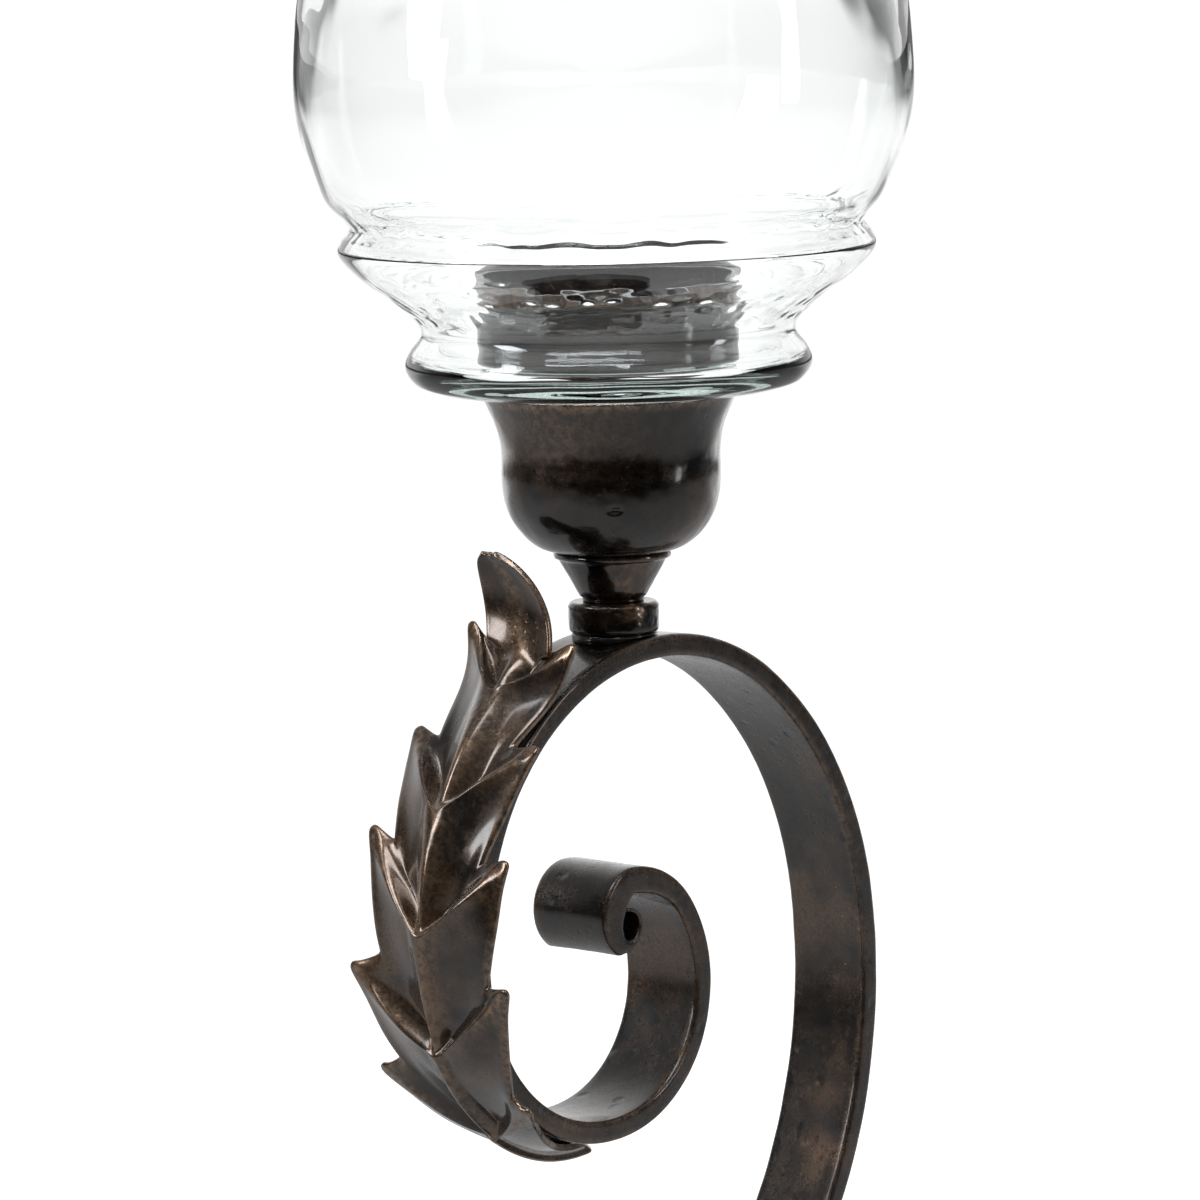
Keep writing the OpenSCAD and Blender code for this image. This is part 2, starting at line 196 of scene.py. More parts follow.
def ring_faces(start, rings, around):
    """Faces between neighbouring rings of vertices, from vertex start on."""
    faces = []
    for i in range(rings - 1):
        for k in range(around):
            n = (k + 1) % around
            p = start + i * around
            faces.append((p + k, p + n, p + around + n, p + around + k))
    return faces


# ---- materials

class Nodes:
    """Short names for the shader nodes used below."""

    def __init__(self, tree):
        self.tree = tree

    def fill(self, node, inputs):
        """Links or sets inputs by name or number. Colours are (r, g, b)."""
        for key, value in inputs.items():
            socket = node.inputs[key]
            if isinstance(value, bpy.types.NodeSocket):
                self.tree.links.new(value, socket)
            else:
                socket.default_value = (*value, 1.0) if socket.type == "RGBA" else value

    def new(self, kind, inputs=None, **settings):
        n = self.tree.nodes.new("ShaderNode" + kind)
        for k, v in settings.items():
            setattr(n, k, v)
        self.fill(n, inputs or {})
        return n

    def noise(self, vec, scale, detail=4.0, rough=0.55, stretch=None):
        if stretch:
            vec = self.new("Mapping", {"Vector": vec, "Scale": stretch}).outputs[0]
        inputs = {"Vector": vec, "Scale": scale, "Detail": detail, "Roughness": rough}
        return self.new("TexNoise", inputs).outputs["Fac"]

    def cells(self, vec, scale):
        return self.new("TexVoronoi", {"Vector": vec, "Scale": scale}).outputs["Distance"]

    def span(self, value, a, b, lo=0.0, hi=1.0):
        inputs = {"Value": value, "From Min": a, "From Max": b, "To Min": lo, "To Max": hi}
        return self.new("MapRange", inputs, interpolation_type="SMOOTHSTEP").outputs["Result"]

    def maths(self, op, a, b):
        return self.new("Math", {0: a, 1: b}, operation=op).outputs[0]

    def mix(self, fac, a, b):
        return self.new("Mix", {0: fac, 6: a, 7: b}, data_type="RGBA").outputs[2]

    def blend(self, fac, a, b):
        return self.new("Mix", {0: fac, 2: a, 3: b}, data_type="FLOAT").outputs[0]

    def dot(self, vec, way):
        return self.new("VectorMath", {0: vec, 1: way}, operation="DOT_PRODUCT").outputs["Value"]

    def bump(self, height, distance, strength=1.0, under=None):
        inputs = {"Height": height, "Distance": distance, "Strength": strength}
        if under is not None:
            inputs["Normal"] = under
        return self.new("Bump", inputs).outputs["Normal"]


def shader(name):
    """A new material, its nodes, its surface node and object coordinates."""
    mat = bpy.data.materials.new(name)
    mat.use_nodes = True
    n = Nodes(mat.node_tree)
    return mat, n, n.tree.nodes["Principled BSDF"], n.new("TexCoord").outputs["Object"]


SOOT = (0.0055, 0.0048, 0.0048)
UMBER = (0.021, 0.0138, 0.0092)
RUSSET = (0.092, 0.054, 0.031)
COPPER = (0.36, 0.22, 0.13)


def bronze(name, warm=0.5, streaks=0.0, pits=0.5, rough=0.34, copper_gain=0.5):
    """Bronze paint on iron, finished by oiling and rubbing: near-black brown, warmer where
    rubbing has thinned it, copper where edges have lost their paint and where some pieces'
    masks hold painted highlights, with pits and casting grain."""
    mat, n, bsdf, obj = shader(name)
    big = n.noise(obj, 26.0, 3.0)
    mid = n.noise(obj, 120.0, 6.0, 0.62)
    tiny = n.noise(obj, 900.0, 5.0, 0.6)
    colour = n.mix(n.span(mid, 0.36, 0.62), SOOT, UMBER)
    patch = n.maths("MULTIPLY", n.span(big, 0.60 - 0.25 * warm, 0.78 - 0.2 * warm),
                    n.span(tiny, 0.36, 0.62, 0.45, 1.0))
    colour = n.mix(patch, colour, RUSSET)
    if streaks:
        uv = n.new("UVMap", uv_map="UVMap").outputs["UV"]
        brushed = n.noise(uv, 60.0, 5.0, 0.6, (1.0, 9.0, 1.0))
        colour = n.mix(n.span(brushed, 0.52, 0.74, 0.0, streaks), colour, RUSSET)
    # The vertex mask read here is paint lost at edges and, on the cup, cone and collar, painted
    # highlights; both show as COPPER below.
    attr = n.new("Attribute", attribute_name="wear_and_sheen").outputs["Fac"]
    speck = n.span(n.noise(obj, 420.0, 6.0, 0.7), 0.38, 0.62)
    rub_and_sheen_mask = n.maths("MULTIPLY", attr, n.maths("ADD", n.maths("MULTIPLY", speck, 0.75), 0.12))
    rub_and_sheen_mask = n.maths("MINIMUM", n.maths("MULTIPLY", rub_and_sheen_mask, copper_gain * 2), 1.0)
    colour = n.mix(rub_and_sheen_mask, colour, COPPER)
    r = n.maths("ADD", n.span(mid, 0.3, 0.75, rough - 0.07, rough + 0.12),
                n.span(tiny, 0.35, 0.7, -0.03, 0.05))
    holes = n.span(n.cells(obj, 330.0), 0.10, 0.30)
    where = n.span(n.noise(obj, 60.0, 2.0), 0.60 - 0.12 * pits, 0.66, 1.0, 0.0)
    pitted = n.maths("MAXIMUM", holes, where)
    height = n.maths("ADD", n.maths("MULTIPLY", mid, 0.55), n.maths("MULTIPLY", tiny, 0.10))
    if streaks:
        height = n.maths("ADD", height, n.maths("MULTIPLY", brushed, 0.30))
    dented_at = n.span(n.noise(obj, 38.0, 2.0), 0.45, 0.54, 1.0, 0.0)
    dents = n.maths("MAXIMUM", n.span(n.cells(obj, 95.0), 0.06, 0.26), dented_at)
    normal = n.bump(height, 0.0004 + 0.0002 * pits, 0.5)
    normal = n.bump(pitted, 0.0005, 0.3 + 0.5 * pits, normal)
    normal = n.bump(dents, 0.001, 0.75 * pits, normal)
    n.fill(bsdf, {"Base Color": colour, "Roughness": r, "Metallic": 0.7, "Coat Weight": 0.75,
                  "Coat Roughness": 0.11, "Normal": normal})
    return mat


def glass_material(name):
    """Clear blown glass with a faint green-grey body."""
    mat, n, bsdf, obj = shader(name)
    ripple = n.noise(obj, 22.0, 2.0, 0.4)
    tint = n.mix(ripple, (0.995, 1.0, 0.998), (0.98, 0.992, 0.988))
    n.fill(bsdf, {"Base Color": tint, "Roughness": 0.0, "IOR": 1.5, "Transmission Weight": 1.0,
                  "Normal": n.bump(ripple, 0.0012, 0.35)})
    absorb = n.new("VolumeAbsorption", {"Color": (0.30, 0.52, 0.48), "Density": 4.0})
    n.fill(n.tree.nodes["Material Output"], {"Volume": absorb.outputs[0]})
    return mat


def steel_material(name):
    """Zinc-plated steel: pale crystalline mottling with fine scratches."""
    mat, n, bsdf, obj = shader(name)
    spangle = n.noise(obj, 240.0, 3.0, 0.5)
    scratch = n.noise(obj, 300.0, 4.0, 0.6, (1.0, 1.0, 14.0))
    n.fill(bsdf, {"Base Color": n.mix(spangle, (0.42, 0.43, 0.44), (0.66, 0.66, 0.64)),
                  "Roughness": n.span(scratch, 0.3, 0.7, 0.24, 0.42), "Metallic": 1.0,
                  "Normal": n.bump(scratch, 0.0002, 0.4)})
    return mat


def silicone_material(name):
    """Milky translucent silicone with a matt skin. Its faint glow isn't real: it
    keeps the glass's foot from rendering black. Elsewhere, set it to 0."""
    mat, n, bsdf, obj = shader(name)
    cloud = n.noise(obj, 160.0, 5.0, 0.65)
    milk = n.mix(n.span(cloud, 0.35, 0.75), (0.86, 0.89, 0.88), (0.74, 0.78, 0.77))
    n.fill(bsdf, {"Base Color": milk, "Roughness": n.span(cloud, 0.3, 0.7, 0.25, 0.4), "IOR": 1.41,
                  "Transmission Weight": 0.5, "Emission Color": (0.78, 0.88, 0.85),
                  "Emission Strength": 0.3,
                  "Normal": n.bump(n.noise(obj, 1400.0, 3.0), 0.0002, 0.5)})
    return mat


def felt_material(name):
    """Dark green wool felt: matted fibres in every direction."""
    mat, n, bsdf, obj = shader(name)
    fibre = n.noise(obj, 1500.0, 6.0, 0.75, (1.0, 0.35, 1.0))
    cross = n.noise(obj, 1300.0, 6.0, 0.75, (0.35, 1.0, 1.0))
    both = n.maths("MAXIMUM", fibre, cross)
    wool = n.mix(n.span(both, 0.4, 0.75), (0.008, 0.016, 0.011), (0.030, 0.050, 0.036))
    n.fill(bsdf, {"Base Color": wool, "Roughness": n.span(both, 0.3, 0.8, 0.85, 1.0),
                  "Sheen Weight": 0.4, "Normal": n.bump(both, 0.0008, 0.8)})
    return mat


BAR = bronze("bar_bronze", warm=0.3, streaks=0.7, pits=0.9, rough=0.24)
CAST = bronze("cast_bronze", warm=0.45, pits=0.2, rough=0.23)
LEAF = bronze("leaf_bronze", warm=0.7, pits=0.15, rough=0.24, copper_gain=0.5)
WELD = bronze("weld_bronze", warm=0.0, pits=0.9, rough=0.6)
PAN = bronze("pan_bronze", warm=0.3, pits=0.8, rough=0.42)
GLASS = glass_material("blown_glass")
STEEL = steel_material("zinc_plate")
SILICONE = silicone_material("milky_silicone")
FELT = felt_material("wool_felt")

# ---- the bar's centre line

BAR_W, BAR_T = 31.75, 7.3
LOOP_R, ROLL_R, HEEL_R, SOLE_R, TOE_R = 90.7, 15.0, 53.65, 42.0, 31.0
SHOULDER_R, BACK_R = LOOP_R * 4 / 3, LOOP_R * 1.81
CHEEK_R, CHIN_R, CURL_R = LOOP_R * 2 / 3, LOOP_R * 0.506, LOOP_R * 0.382
SHOULDER_A, BACK_A, LEAN_A = 54, 9, -60
CHEEK_A, CHIN_A, CURL_A, ROLL_A = 197, 283, 394, 449
SOLE_A, TOE_A, TOE_ROLL_A = 275, 380, 435
BAR_TOP = high("scroll_bar").z

loop_c = Vector((6.9, BAR_TOP - LOOP_R))
shoulder_c = loop_c + (LOOP_R - SHOULDER_R) * unit(SHOULDER_A)
back_c = shoulder_c + (SHOULDER_R - BACK_R) * unit(BACK_A)
cheek_c = loop_c + (LOOP_R - CHEEK_R) * unit(CHEEK_A)
chin_c = cheek_c + (CHEEK_R - CHIN_R) * unit(CHIN_A)
curl_c = chin_c + (CHIN_R - CURL_R) * unit(CURL_A)
roll_c = curl_c + (CURL_R - ROLL_R) * unit(ROLL_A)
lean_start = back_c + (BACK_R - BAR_T / 2) * unit(LEAN_A)
heel_mid = HEEL_R - BAR_T / 2
lean_way = unit(LEAN_A)
lean_len = -(lean_start.x + heel_mid * lean_way.x) / lean_way.y
lean_dir = Vector((lean_way.y, -lean_way.x))
heel_c = lean_start + lean_len * lean_dir + heel_mid * lean_way
sole_c = heel_c + (HEEL_R - SOLE_R) * unit(SOLE_A)
toe_c = sole_c + (SOLE_R - TOE_R) * unit(TOE_A)
toe_roll_c = toe_c + (TOE_R - ROLL_R) * unit(TOE_ROLL_A)

# The end of the bar, in the roll's own axes: the outer face goes round the roll
# to a blunt corner, and a thin lip curls up from there round a small eye.
roll_outer = arc_pts((0, 0), ROLL_R, 90, 232, 26) + smooth(
    [(-8.6, -12.3), (-7.2, -13.0), (-4.6, -12.7), (-1.8, -12.0), (1.2, -9.6), (3.2, -6.4),
     (3.6, -3.6), (2.6, -0.8), (0.6, 1.0), (-1.6, 1.9), (-3.4, 1.9)], 4)
roll_inner = smooth(
    [(0, 6.0), (-1.8, 4.6), (-3.0, 3.2), (-3.6, 1.9), (-4.4, 0.2), (-5.3, -2.2), (-5.4, -4.6),
     (-4.7, -6.8), (-3.2, -8.2), (-1.4, -8.4), (0.5, -7.2), (1.6, -5.0), (1.7, -2.9), (0.9, -1.0),
     (-0.6, 0.2), (-2.4, 0.8), (-3.6, 0.9)], 5)


def resample(points, n):
    """n points evenly spaced along a broken line."""
    runs = [0.0]
    for a, b in zip(points, points[1:]):
        runs.append(runs[-1] + (b - a).length)
    out, j = [], 0
    for k in range(n):
        s = runs[-1] * k / (n - 1)
        while j < len(points) - 2 and runs[j + 1] < s:
            j += 1
        t = (s - runs[j]) / max(1e-9, runs[j + 1] - runs[j])
        out.append(points[j].lerp(points[j + 1], clamp(t)))
    return out


def matched(outer, inner, marks, steps):
    """Pairs of points on two curves, matched piece by piece. marks are the
    fractions of each curve's length that belong together."""
    many = 800
    o, i = resample(outer, many), resample(inner, many)
    pairs = []
    for (a0, b0), (a1, b1) in zip(marks, marks[1:]):
        for k in range(steps):
            t = k / steps
            at_o, at_i = lerp(a0, a1, t) * (many - 1), lerp(b0, b1, t) * (many - 1)
            pairs.append((o[round(at_o)], i[round(at_i)]))
    return pairs + [(o[-1], i[-1])]


def turned(p, deg):
    way = unit(deg)
    return Vector((p.x * way.x - p.y * way.y, p.x * way.y + p.y * way.x))


ROLL_MARKS = [(0, 0), (0.25, 0.10), (0.47, 0.30), (0.57, 0.42), (0.66, 0.53), (0.78, 0.68),
              (0.88, 0.82), (1, 1)]
roll_pairs = matched(roll_outer, roll_inner, ROLL_MARKS, 7)


def roll_at(centre, end_a):
    """The roll's pairs of points round its centre, where the bar enters at end_a."""
    return [[centre + turned(q, end_a - 90) for q in pair] for pair in roll_pairs]


def arc_pairs(c, r, a0, a1, step=1.9):
    """Pairs of points on the bar's two faces round an arc of outer radius r."""
    n = max(4, round(abs(math.radians(a1 - a0)) * r / step))
    ways = [unit(lerp(a0, a1, k / n)) for k in range(n)]
    return [(c + r * way, c + (r - BAR_T) * way) for way in ways]


def thicken(pairs, t0, t1):
    """Moves the inner points so that the thickness runs from t0 to t1."""
    out = []
    for k, (o, i) in enumerate(pairs):
        t = lerp(t0, t1, ramp(0, len(pairs) - 1, k))
        out.append((o, o + (i - o).normalized() * t))
    return out


ROLL_T = ROLL_R - 6.0
curl_pairs = thicken(arc_pairs(curl_c, CURL_R, ROLL_A, CURL_A), ROLL_T, BAR_T)
toe_pairs = thicken(arc_pairs(toe_c, TOE_R, TOE_A, TOE_ROLL_A), BAR_T, ROLL_T)
LEAN_STEPS = 30
lean_pairs = []
for k in range(LEAN_STEPS):
    shift = lean_dir * lean_len * k / LEAN_STEPS
    lean_pairs.append([back_c + r * lean_way + shift for r in (BACK_R, BACK_R - BAR_T)])


def swapped(pairs):
    return [(i, o) for o, i in pairs]


# From the upper roll down to the lower one. "a" is the face that is outside on
# the upper loop, and "b" the other one.
stations = (list(reversed(roll_at(roll_c, ROLL_A)))[:-1]
            + curl_pairs
            + arc_pairs(chin_c, CHIN_R, CURL_A, CHIN_A)
            + arc_pairs(cheek_c, CHEEK_R, CHIN_A, CHEEK_A)
            + arc_pairs(loop_c, LOOP_R, CHEEK_A, SHOULDER_A)
            + arc_pairs(shoulder_c, SHOULDER_R, SHOULDER_A, BACK_A)
            + arc_pairs(back_c, BACK_R, BACK_A, LEAN_A)
            + lean_pairs
            + swapped(arc_pairs(heel_c, HEEL_R, LEAN_A + 180, SOLE_A))
            + swapped(arc_pairs(sole_c, SOLE_R, SOLE_A, TOE_A))
            + swapped(toe_pairs)
            + swapped(roll_at(toe_roll_c, TOE_ROLL_A)))

EDGE_R = 1.5
# The first stations, at the upper roll's end, are forged a little wider.
FLARED, FLARE = 60, 0.10
FACE_STEPS, CORNER_STEPS, SIDE_STEPS = 14, 4, 4


def bar_section(t):
    """Section of the bar of thickness t as (across, depth) points, where depth
    runs from -t/2 on face b to t/2 on face a, with its corner's share."""
    r = min(EDGE_R, t * 0.34)
    w, d = BAR_W / 2, t / 2
    out = []
    for s in (1, -1):
        for k in range(FACE_STEPS):
            out.append((s * lerp(-(w - r), w - r, k / FACE_STEPS), s * d, 0.0))
        for k in range(CORNER_STEPS):
            corner = unit(90 - 90 * k / CORNER_STEPS)
            out.append((s * (w - r + r * corner.x), s * (d - r + r * corner.y), 1.0))
        for k in range(SIDE_STEPS):
            out.append((s * w, s * lerp(d - r, -(d - r), k / SIDE_STEPS), 0.25))
        for k in range(CORNER_STEPS):
            corner = unit(-90 * k / CORNER_STEPS)
            out.append((s * (w - r + r * corner.x), s * (r * corner.y - d + r), 1.0))
    return out


def build_bar():
    verts, uv, wear_and_sheen = [], [], []
    run, before = 0.0, None
    for pa, pb in stations:
        mid = (pa + pb) / 2
        t = (pa - pb).length
        n = (pa - pb) / t
        if before is not None:
            run += (mid - before).length
        before = mid
        section = bar_section(t)
        for j, (y, d, corner) in enumerate(section):
            p = Vector((mid.x, y, mid.y))
            nv = Vector((n.x, 0, n.y))
            face = 1.0 if d > 0 else -1.0
            wave = 0.30 * grain((run * 0.45, y, 7 * face), 11.0) + 0.12 * grain((run, y, 31 * face), 5.0)
            hollow = 0.22 * math.cos(math.pi * y / BAR_W) * (1 - corner)
            depth = d * (1 + min(-0.07, wave - hollow - 0.1) * 0.9 / max(t, 2.0))
            ripple = 0.22 * grain((run * 0.6, 3 * math.copysign(1, y), 50), 9.0) \
                + 0.10 * grain((run, 9 * math.copysign(1, y), 70), 3.5)
            q = Vector((mid.x, 0, mid.y)) + nv * depth
            side = y - math.copysign(max(0.0, 0.25 - ripple * 0.8), y) * clamp((abs(y) - 8) / 8)
            if y > 0 and len(uv) < FLARED * len(section):
                side *= 1 + FLARE * (1 - len(uv) / (FLARED * len(section)))
            verts.append((q.x, side, q.z))
            uv.append((run * MM * 5, j / len(section)))
            rub = corner * (0.25 + 0.75 * clamp(0.5 + grain((run, y, 90), 16.0)))
            wear_and_sheen.append(clamp(0.35 * rub))
    count = len(section)
    faces = ring_faces(0, len(stations), count)
    faces.append(tuple(reversed(range(count))))
    last = (len(stations) - 1) * count
    faces.append(tuple(range(last, last + count)))
    piece("scroll", verts, faces, "stand", BAR, ["scroll_bar"], uv, wear_and_sheen)


build_bar()

# ---- the leaf

PEEL_A, PEEL_R, LEAF_MEAN, LEAF_T = 130, 45.0, 5.0, 2.2
peel_len = math.radians(CHEEK_A - PEEL_A) * (LOOP_R + LEAF_MEAN)
peel_c = loop_c + (LOOP_R + PEEL_R) * unit(PEEL_A)


def leaf_at(length, y, h):
    """A place over the bar's outer face: length from where the loop meets the
    cheek, y across and h over the face."""
    if length < 0:
        p = cheek_c + (CHEEK_R + h) * unit(CHEEK_A - math.degrees(length / (CHEEK_R + LEAF_MEAN)))
    elif length < peel_len:
        p = loop_c + (LOOP_R + h) * unit(CHEEK_A - math.degrees(length / (LOOP_R + LEAF_MEAN)))
    else:
        p = peel_c + (PEEL_R - h) * unit(PEEL_A + 180 + math.degrees((length - peel_len) / PEEL_R))
    return Vector((p.x, y, p.y))


# Each lobe: where its ridge leaves the midrib, its tip, and the notch below it,
# as (length, half width), for the left (+Y) and the right (-Y) side.
FEET = [112, 70.5, 33, -5, -44, -91]
TIPS = {1: [(144, 23.5), (101, 27), (66, 30), (22, 34), (-14, 32), (-43, 21)],
        -1: [(139, 22), (98.5, 26.5), (60, 30.5), (20, 33.5), (-25, 26.5), (-44, 21)]}
NOTCHES = {1: [(99, 17.5), (62.5, 20), (26, 22), (-10.5, 22.5), (-37, 20), (-90, 10)],
           -1: [(98, 15), (58, 19), (19.5, 23.5), (-22, 21), (-42, 20), (-92, 14)]}
TIP_NOTCH = {1: (140, 17.5), -1: (136, 10.5)}
TIP_SIDE = {1: [(136, 13.5), (145, 14.8), (153, 16.2), (160, 17.0), (165.5, 17.0), (169.3, 16.0),
                (171.2, 13.6)],
            -1: [(132, 14.0), (141, 12.8), (149, 10.8), (157, 7.2), (163.5, 2.6), (168.3, -2.6),
                 (171.3, -8.2)]}
RIB_H = [(-92, 7.8), (-77, 8.4), (-62, 8.4), (-44, 8.0), (-25, 8.2), (0, 9.2), (30, 10.0), (60, 10.8),
         (100, 11.2), (112, 12.0), (135, 9.5), (160, 7.5), (180, 6.0)]
RIB_W = [(-90, 3.4), (-44, 3.2), (-5, 4.0), (33, 5.4), (70, 7.0), (112, 8.0), (140, 6.4),
         (175, 3.0)]
END_H = [(-90, 5.6), (-60, 4.6), (-20, 4.4), (20, 4.8), (60, 5.0), (110, 5.2), (140, 5.6)]
# Rows round a lobe's blunt tip, as (angle off the lobe's own line, distance of
# the row's foot up the midrib, relief), then shares of the way down the lobe.
TIP_R = 2.3
ROUND = [(78, 0.9, 1.2), (28, 0.4, 2.8), (-22, 0.0, 3.2), (-72, -0.6, 2.7)]
ROWS = [0.13, 0.28, 0.45, 0.62, 0.8, 0.94, 1.0]
LOBE_ROWS = 1 + len(ROUND) + len(ROWS)
COLS = 10
CREST = 3.0


def leaf_columns(rib_w, reach):
    """Distances from the midrib's middle, close together at its crease."""
    inner = [0.0, rib_w * 0.55, rib_w, rib_w * 1.35]
    outer = [lerp(rib_w * 1.35, reach, k / (COLS - 4)) for k in range(1, COLS - 3)]
    return inner + outer


def ragged(length, side):
    """How far a torn or hand-cut edge strays in or out."""
    rough = 0.35 + 1.6 * ramp(10, -45, length)
    return rough * grain((length, 40 * side, 3), 5.5) + 0.5 * rough * grain((length, 40 * side, 9), 2.2)


def leaf_row(side, foot, end, relief, curl):
    """One row of a lobe, from the midrib at foot out to the edge at end."""
    length_e, reach = end
    reach = max(reach, 1.6)
    rib_w = min(along(RIB_W, foot), reach * 0.5)
    out = []
    for y in leaf_columns(rib_w, reach):
        v = y / reach
        at = foot + (length_e - foot) * (0.12 * v + 0.88 * v ** 1.15)
        crest = 1 - clamp(y / rib_w)
        base = lerp(along(RIB_H, foot) - CREST, along(END_H, length_e), v ** 1.3)
        h = base + CREST * crest + relief * math.sin(math.pi * min(1.0, 1.1 * v ** 0.7)) + curl * v ** 4
        h = max(h, LEAF_T + 0.5) if y < BAR_W / 2 + 2 else max(h, 1.2)
        out.append((at, side * y, h))
    return out


def leaf_rows(side):
    rows = []
    for end, other in zip(reversed(TIP_SIDE[side]), reversed(TIP_SIDE[-side])):
        middle = (end[1] - other[1]) / 2
        half = (end[1] + other[1]) / 2
        row = []
        for y in leaf_columns(half * 0.28, half):
            v = y / half
            h = 6.6 + 1.6 * v ** 2.2 + 1.5 * ramp(166, 173, end[0]) * (1 - v)
            row.append((lerp((end[0] + other[0]) / 2, end[0], v), side * (middle + y), h))
        rows.append(row)
    foot0 = FEET[0] + 8
    half_way = Vector(TIP_NOTCH[side]).lerp(Vector(TIP_SIDE[side][0]), 0.5)
    rows.append(leaf_row(side, foot0 + 6, half_way, -0.8, 1.0))
    tip_notch = (TIP_NOTCH[side][0] - 1.5, TIP_NOTCH[side][1] - 0.8)
    rows.append(leaf_row(side, foot0 - 4, tip_notch, -3.2, 0.0))
    for k in range(len(FEET) - 1):
        tip, notch = TIPS[side][k], NOTCHES[side][k]
        above = NOTCHES[side][k - 1] if k else tip_notch
        size = 1.0 if k < 4 else 0.6
        last = k == len(FEET) - 2
        reach = Vector((tip[0] - FEET[k], tip[1]))
        ahead = reach.normalized()
        aside = Vector((ahead.y, -ahead.x))
        centre = Vector(tip) - TIP_R * ahead
        flank = Vector(above).lerp(centre + TIP_R * aside, 0.55)
        rows.append(leaf_row(side, FEET[k] + 1.5, flank, -1.8 * size, 0.0))
        for turn, up, rise in ROUND:
            way = unit(turn)
            end = centre + TIP_R * (way.x * ahead + way.y * aside)
            rows.append(leaf_row(side, FEET[k] + up, end, rise * size, 1.2 * size))
        start = centre - TIP_R * aside
        for u in ROWS:
            foot = lerp(FEET[k], FEET[k + 1] + (0 if last else 2.6), u)
            bow = (2.0 if k < 4 else 1.0) * math.sin(math.pi * u) * (0.5 + 0.5 * u)
            at = lerp(start.x, notch[0], u ** 0.92)
            end = (at, lerp(start.y, notch[1], u ** 0.8) + bow * 0.6 + ragged(at, side))
            relief = lerp(2.7, -3.6, u ** 0.9) * size
            rows.append(leaf_row(side, foot, end, relief, lerp(0.9, -0.6, clamp(u * 3)) * size))
    return rows


def build_leaf():
    left, right = leaf_rows(1), leaf_rows(-1)
    grid = []
    for a, b in zip(left, right):
        joint = tuple((p + q) / 2 for p, q in zip(a[0], b[0]))
        grid.append(list(reversed(b[1:])) + [joint] + a[1:])
    n, m = len(grid), len(grid[0])
    top = [leaf_at(*p) for row in grid for p in row]

    def normal(i, j):
        u = top[min(i + 1, n - 1) * m + j] - top[max(i - 1, 0) * m + j]
        v = top[i * m + min(j + 1, m - 1)] - top[i * m + max(j - 1, 0)]
        c = u.cross(v)
        return c.normalized() if c.length > 1e-6 else Vector((-1, 0, 0))

    sheet_n = []
    for i in range(n):
        for j in range(m):
            out = leaf_at(grid[i][j][0], 0, 10) - leaf_at(grid[i][j][0], 0, 0)
            c = normal(i, j)
            c = c if c.dot(out) > 0 else -c
            sheet_n.append((c + out.normalized() * 0.8).normalized())
    under = [p - q * LEAF_T for p, q in zip(top, sheet_n)]
    verts = top + under
    # How far each column is from the midrib: 1 at the leaf's edges.
    off = [abs(j - (m - 1) / 2) / ((m - 1) / 2) for j in range(m)]
    wear_and_sheen = [0.5 * ramp(0.86, 1.0, off[j]) for i in range(n) for j in range(m)] + [0.0] * len(under)
    row0 = len(TIP_SIDE[1]) + 2
    for k in range(len(FEET) - 1):
        for du, strength in ((1, 0.25), (2, 0.6), (3, 0.6), (4, 0.3)):
            i = row0 + k * LOBE_ROWS + du
            for j in range(m):
                wear_and_sheen[i * m + j] = max(wear_and_sheen[i * m + j], strength * ramp(0.25, 0.9, off[j]))
    for i in range(n):
        for step in range(-2, 3):
            mid = i * m + (m - 1) // 2 + step
            wear_and_sheen[mid] = max(wear_and_sheen[mid], 0.42 - 0.12 * abs(step))
    half = n * m
    faces = []
    for i in range(n - 1):
        for j in range(m - 1):
            a = i * m + j
            faces.append((a, a + 1, a + m + 1, a + m))
            faces.append((half + a, half + a + m, half + a + m + 1, half + a + 1))
    rim = (list(range(m)) + [i * m + m - 1 for i in range(1, n)]
           + [(n - 1) * m + j for j in range(m - 2, -1, -1)] + [i * m for i in range(n - 2, 0, -1)])
    first = len(verts)
    verts += [(verts[a] + verts[half + a]) / 2 for a in rim]
    wear_and_sheen += [0.75] * len(rim)
    for k, a in enumerate(rim):
        k2 = (k + 1) % len(rim)
        faces.append((a, first + k, first + k2, rim[k2]))
        faces.append((first + k, half + a, half + rim[k2], first + k2))
    obj = piece("acanthus", verts, faces, "stand", LEAF, ["acanthus_leaf"], None, wear_and_sheen)
    sub = obj.modifiers.new("smooth", "SUBSURF")
    sub.levels = sub.render_levels = 2


build_leaf()


def build_welds():
    """Ragged beads of weld past the leaf's lower end, as (length, across, size)."""
    beads = [(-94.6, -6.4, 3.1), (-93.9, -0.2, 2.9), (-94.9, 6.2, 2.8)]
    verts, faces, wear_and_sheen = [], [], []
    rings, around = 7, 22
    for b, (at, y, size) in enumerate(beads):
        base = leaf_at(at, y, 0.0)
        up = (leaf_at(at, y, 1.0) - base).normalized()
        fore = Vector((0, 1, 0))
        side = up.cross(fore)
        start = len(verts)
        for i in range(rings):
            a = math.pi / 2 * i / rings
            for k in range(around):
                t = TAU * k / around
                rag = 1 + 0.28 * grain((b * 9 + math.cos(t) * 2, math.sin(t) * 2, i), 1.3)
                r, z = size * math.cos(a) * rag, size * 0.8 * math.sin(a) * rag
                verts.append(base + fore * (r * math.cos(t)) + side * (r * 1.25 * math.sin(t)) + up * z)
                wear_and_sheen.append(0.15)
        verts.append(base + up * size * 0.85)
        wear_and_sheen.append(0.3)
        tip = len(verts) - 1
        faces += ring_faces(start, rings, around)
        for k in range(around):
            p = start + (rings - 1) * around
            faces.append((p + k, p + (k + 1) % around, tip))
        faces.append(tuple(start + k for k in reversed(range(around))))
    piece("leaf_beads", verts, faces, "stand", WELD, ["leaf_welds"], None, wear_and_sheen)


build_welds()


